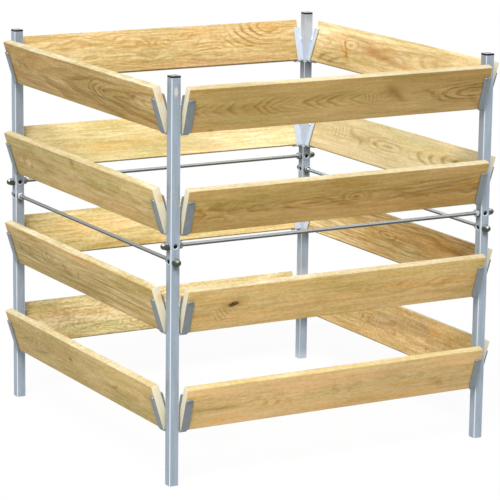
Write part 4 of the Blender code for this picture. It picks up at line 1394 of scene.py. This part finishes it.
# Zinc plating with painted light: bright on the sides that look up towards the sun, painted shade below
plating = {
    "litSide": (-0.30, -0.30, 0.90),
    "clouds": 160.0,
    "scuffs": (1400.0, 1400.0, 260.0),  # waves per metre each way
    "relief": 0.00006,
}
plainPlating = {
    "roughness": 0.30,
    "turn": (0.22, 0.66),  # how far a side faces the lit one: from painted shade to painted light
    "metallic": 0.7,
}
platingLooks = {
    "washer": {"bright": (0.50, 0.53, 0.55), "darkTone": (0.10, 0.11, 0.115), "roughness": 0.34},
    "nut": {"bright": (0.78, 0.82, 0.86), "darkTone": (0.060, 0.062, 0.060), "roughness": 0.28,
            "turn": (0.20, 0.60)},
    # nuts that face the sun, drawn with brighter painted light
    "nut_lit": {"bright": (0.92, 0.96, 1.0), "darkTone": (0.26, 0.29, 0.33), "roughness": 0.34,
                "turn": (0.10, 0.50), "metallic": 0.3},
    "cap_nut": {"bright": (0.62, 0.64, 0.60), "darkTone": (0.075, 0.085, 0.070), "turn": (0.62, 1.02)},
    # a cap nut with darker painted tones and less painted highlight
    "cap_nut_dim": {"bright": (0.40, 0.41, 0.37), "darkTone": (0.070, 0.078, 0.065), "roughness": 0.50,
                     "turn": (0.55, 1.05)},
    "rod": {"bright": (0.60, 0.64, 0.65), "darkTone": (0.10, 0.115, 0.12)},
    # the left rod: darker tones as painted shade
    "rod_dull": {"bright": (0.36, 0.38, 0.37), "darkTone": (0.07, 0.075, 0.07), "roughness": 0.36},
}


def platedSteel(name, look):
    nodes = Nodes(name)
    point = nodes.objectPoint
    cloud = nodes.noise(point, plating["clouds"], 3.0, 0.6)
    scuffs = nodes.waves(point, plating["scuffs"], 3.0, 0.6)
    share = nodes.plus(nodes.times(cloud, 0.7), nodes.times(scuffs, 0.3))
    # painted light: sides facing the sun get the bright tone, the rest the painted shade
    normal = nodes.add("ShaderNodeNewGeometry").outputs["Normal"]
    facing = nodes.vector("DOT_PRODUCT", normal, plating["litSide"])
    facing = nodes.plus(facing, nodes.timesPlus(share, 0.3, -0.15))
    colour = nodes.mix(nodes.spread(facing, *look["turn"]), look["darkTone"], look["bright"])
    nodes.bump(scuffs, plating["relief"], 0.35)
    rough = nodes.spread(cloud, 0.3, 0.7, look["roughness"] + 0.08, look["roughness"] - 0.04)
    return nodes.finish(colour=colour, roughness=rough, metallic=look["metallic"])


fastenerMeshes = {"washer": washerMesh(), "nut": nutMesh(), "cap_nut": capNutMesh()}
plated = {kind: platedSteel(f"plated_{kind}", {**plainPlating, **look})
          for kind, look in platingLooks.items()}
unlikeNuts = {"nut_left_a": "nut_lit", "nut_front_b": "nut_lit", "cap_nut_left_b": "cap_nut_dim"}
threadedBar = rodMesh()
for side, sideName in enumerate(layout["sideNames"]):
    level = lowerRod if side % 2 else upperRod
    middle = sideTurns[side] @ Matrix.Translation((0, -reach, level))
    lengthwise = middle @ Matrix.Rotation(math.pi / 2, 4, "Y")
    barFinish = plated["rod_dull" if sideName == "left" else "rod"]
    addPiece(f"bar_{sideName}", threadedBar, barFinish, lengthwise, "frame",
             f"rod_{sideName}")
    for end, sign in (("a", -1), ("b", 1)):
        for spot, outward in (("outer", sign), ("inner", -sign)):
            away = Matrix.Rotation(outward * math.pi / 2, 4, "Y")
            nutKind = "cap_nut" if spot == "outer" else "nut"
            for kind, tag, seat in (("washer", f"{spot}_{sideName}_{end}", washerSeat),
                                    (nutKind, f"{sideName}_{end}", nutSeat)):
                node = f"{kind}_{tag}"
                shift = Matrix.Translation((sign * reach + outward * seat, 0, 0))
                finish = plated[unlikeNuts.get(node, kind)]
                addPiece("look_" + node, fastenerMeshes[kind], finish, middle @ shift @ away, "frame",
                         node)
print("rods and fasteners done")

# Floor, background and light
studio = {
    "floorHalf": 30,
    "floorColour": (0.40, 0.40, 0.40),  # what the object gets back from the floor
    "floorSeen": (0.90, 0.90, 0.90),
    "floorGlow": 0.95,  # how much of the floor's look is plain white
    "sunFrom": (-0.92, -1.08, 2.0),
    "sunStrength": 3.0,
    "sunAngle": math.radians(30),
    "sunColour": (1.0, 0.98, 0.94),
    "skyStrength": 0.42,
    "skyColour": (0.93, 0.96, 1.0),
    "white": (1, 1, 1),
}


def seenDirectly(tree):  # 1 for rays that show the background: straight, mirrored or let through
    path = tree.nodes.new("ShaderNodeLightPath")
    total = path.outputs["Is Camera Ray"]
    for name in ("Is Glossy Ray", "Is Transmission Ray"):
        larger = tree.nodes.new("ShaderNodeMath")
        larger.operation = "MAXIMUM"
        tree.links.new(total, larger.inputs[0])
        tree.links.new(path.outputs[name], larger.inputs[1])
        total = larger.outputs[0]
    return total


def chosen(tree, share, first, second):
    node = tree.nodes.new("ShaderNodeMix")
    node.data_type = "RGBA"
    tree.links.new(share, node.inputs["Factor"])
    node.inputs["A"].default_value = (*first, 1)
    node.inputs["B"].default_value = (*second, 1)
    return node.outputs["Result"]


def floorMaterial():
    material = bpy.data.materials.new("floor")
    material.use_nodes = True
    tree = material.node_tree
    tree.nodes.clear()
    out = tree.nodes.new("ShaderNodeOutputMaterial")
    seen = seenDirectly(tree)
    diffuse = tree.nodes.new("ShaderNodeBsdfDiffuse")
    tree.links.new(chosen(tree, seen, studio["floorColour"], studio["floorSeen"]), diffuse.inputs["Color"])
    glow = tree.nodes.new("ShaderNodeEmission")
    glow.inputs["Color"].default_value = (*studio["white"], 1)
    share = tree.nodes.new("ShaderNodeMath")
    share.operation = "MULTIPLY"
    share.inputs[1].default_value = studio["floorGlow"]
    mix = tree.nodes.new("ShaderNodeMixShader")
    tree.links.new(seen, share.inputs[0])
    for source, place in zip((share, diffuse, glow), mix.inputs):
        tree.links.new(source.outputs[0], place)
    tree.links.new(mix.outputs[0], out.inputs[0])
    return material


def addFloor():
    bm = bmesh.new()
    bmesh.ops.create_grid(bm, x_segments=1, y_segments=1, size=studio["floorHalf"])
    floor = bpy.data.objects.new("floor", meshFrom(bm, "floor"))
    bpy.context.scene.collection.objects.link(floor)
    floor.data.materials.append(floorMaterial())


def addWorld():
    world = bpy.data.worlds.new("studio")
    world.use_nodes = True
    tree = world.node_tree
    background = tree.nodes["Background"]
    dim = [studio["skyStrength"] * part for part in studio["skyColour"]]
    tree.links.new(chosen(tree, seenDirectly(tree), dim, studio["white"]), background.inputs["Color"])
    background.inputs["Strength"].default_value = 1
    bpy.context.scene.world = world


def addSun():
    data = bpy.data.lights.new("sun", "SUN")
    data.energy = studio["sunStrength"]
    data.angle = studio["sunAngle"]
    data.color = studio["sunColour"]
    sun = bpy.data.objects.new("sun", data)
    sun.rotation_euler = Vector(studio["sunFrom"]).to_track_quat("Z", "Y").to_euler()
    bpy.context.scene.collection.objects.link(sun)


addFloor()
addWorld()
addSun()
bpy.context.scene.view_settings.view_transform = "Standard"
print("floor and light done")
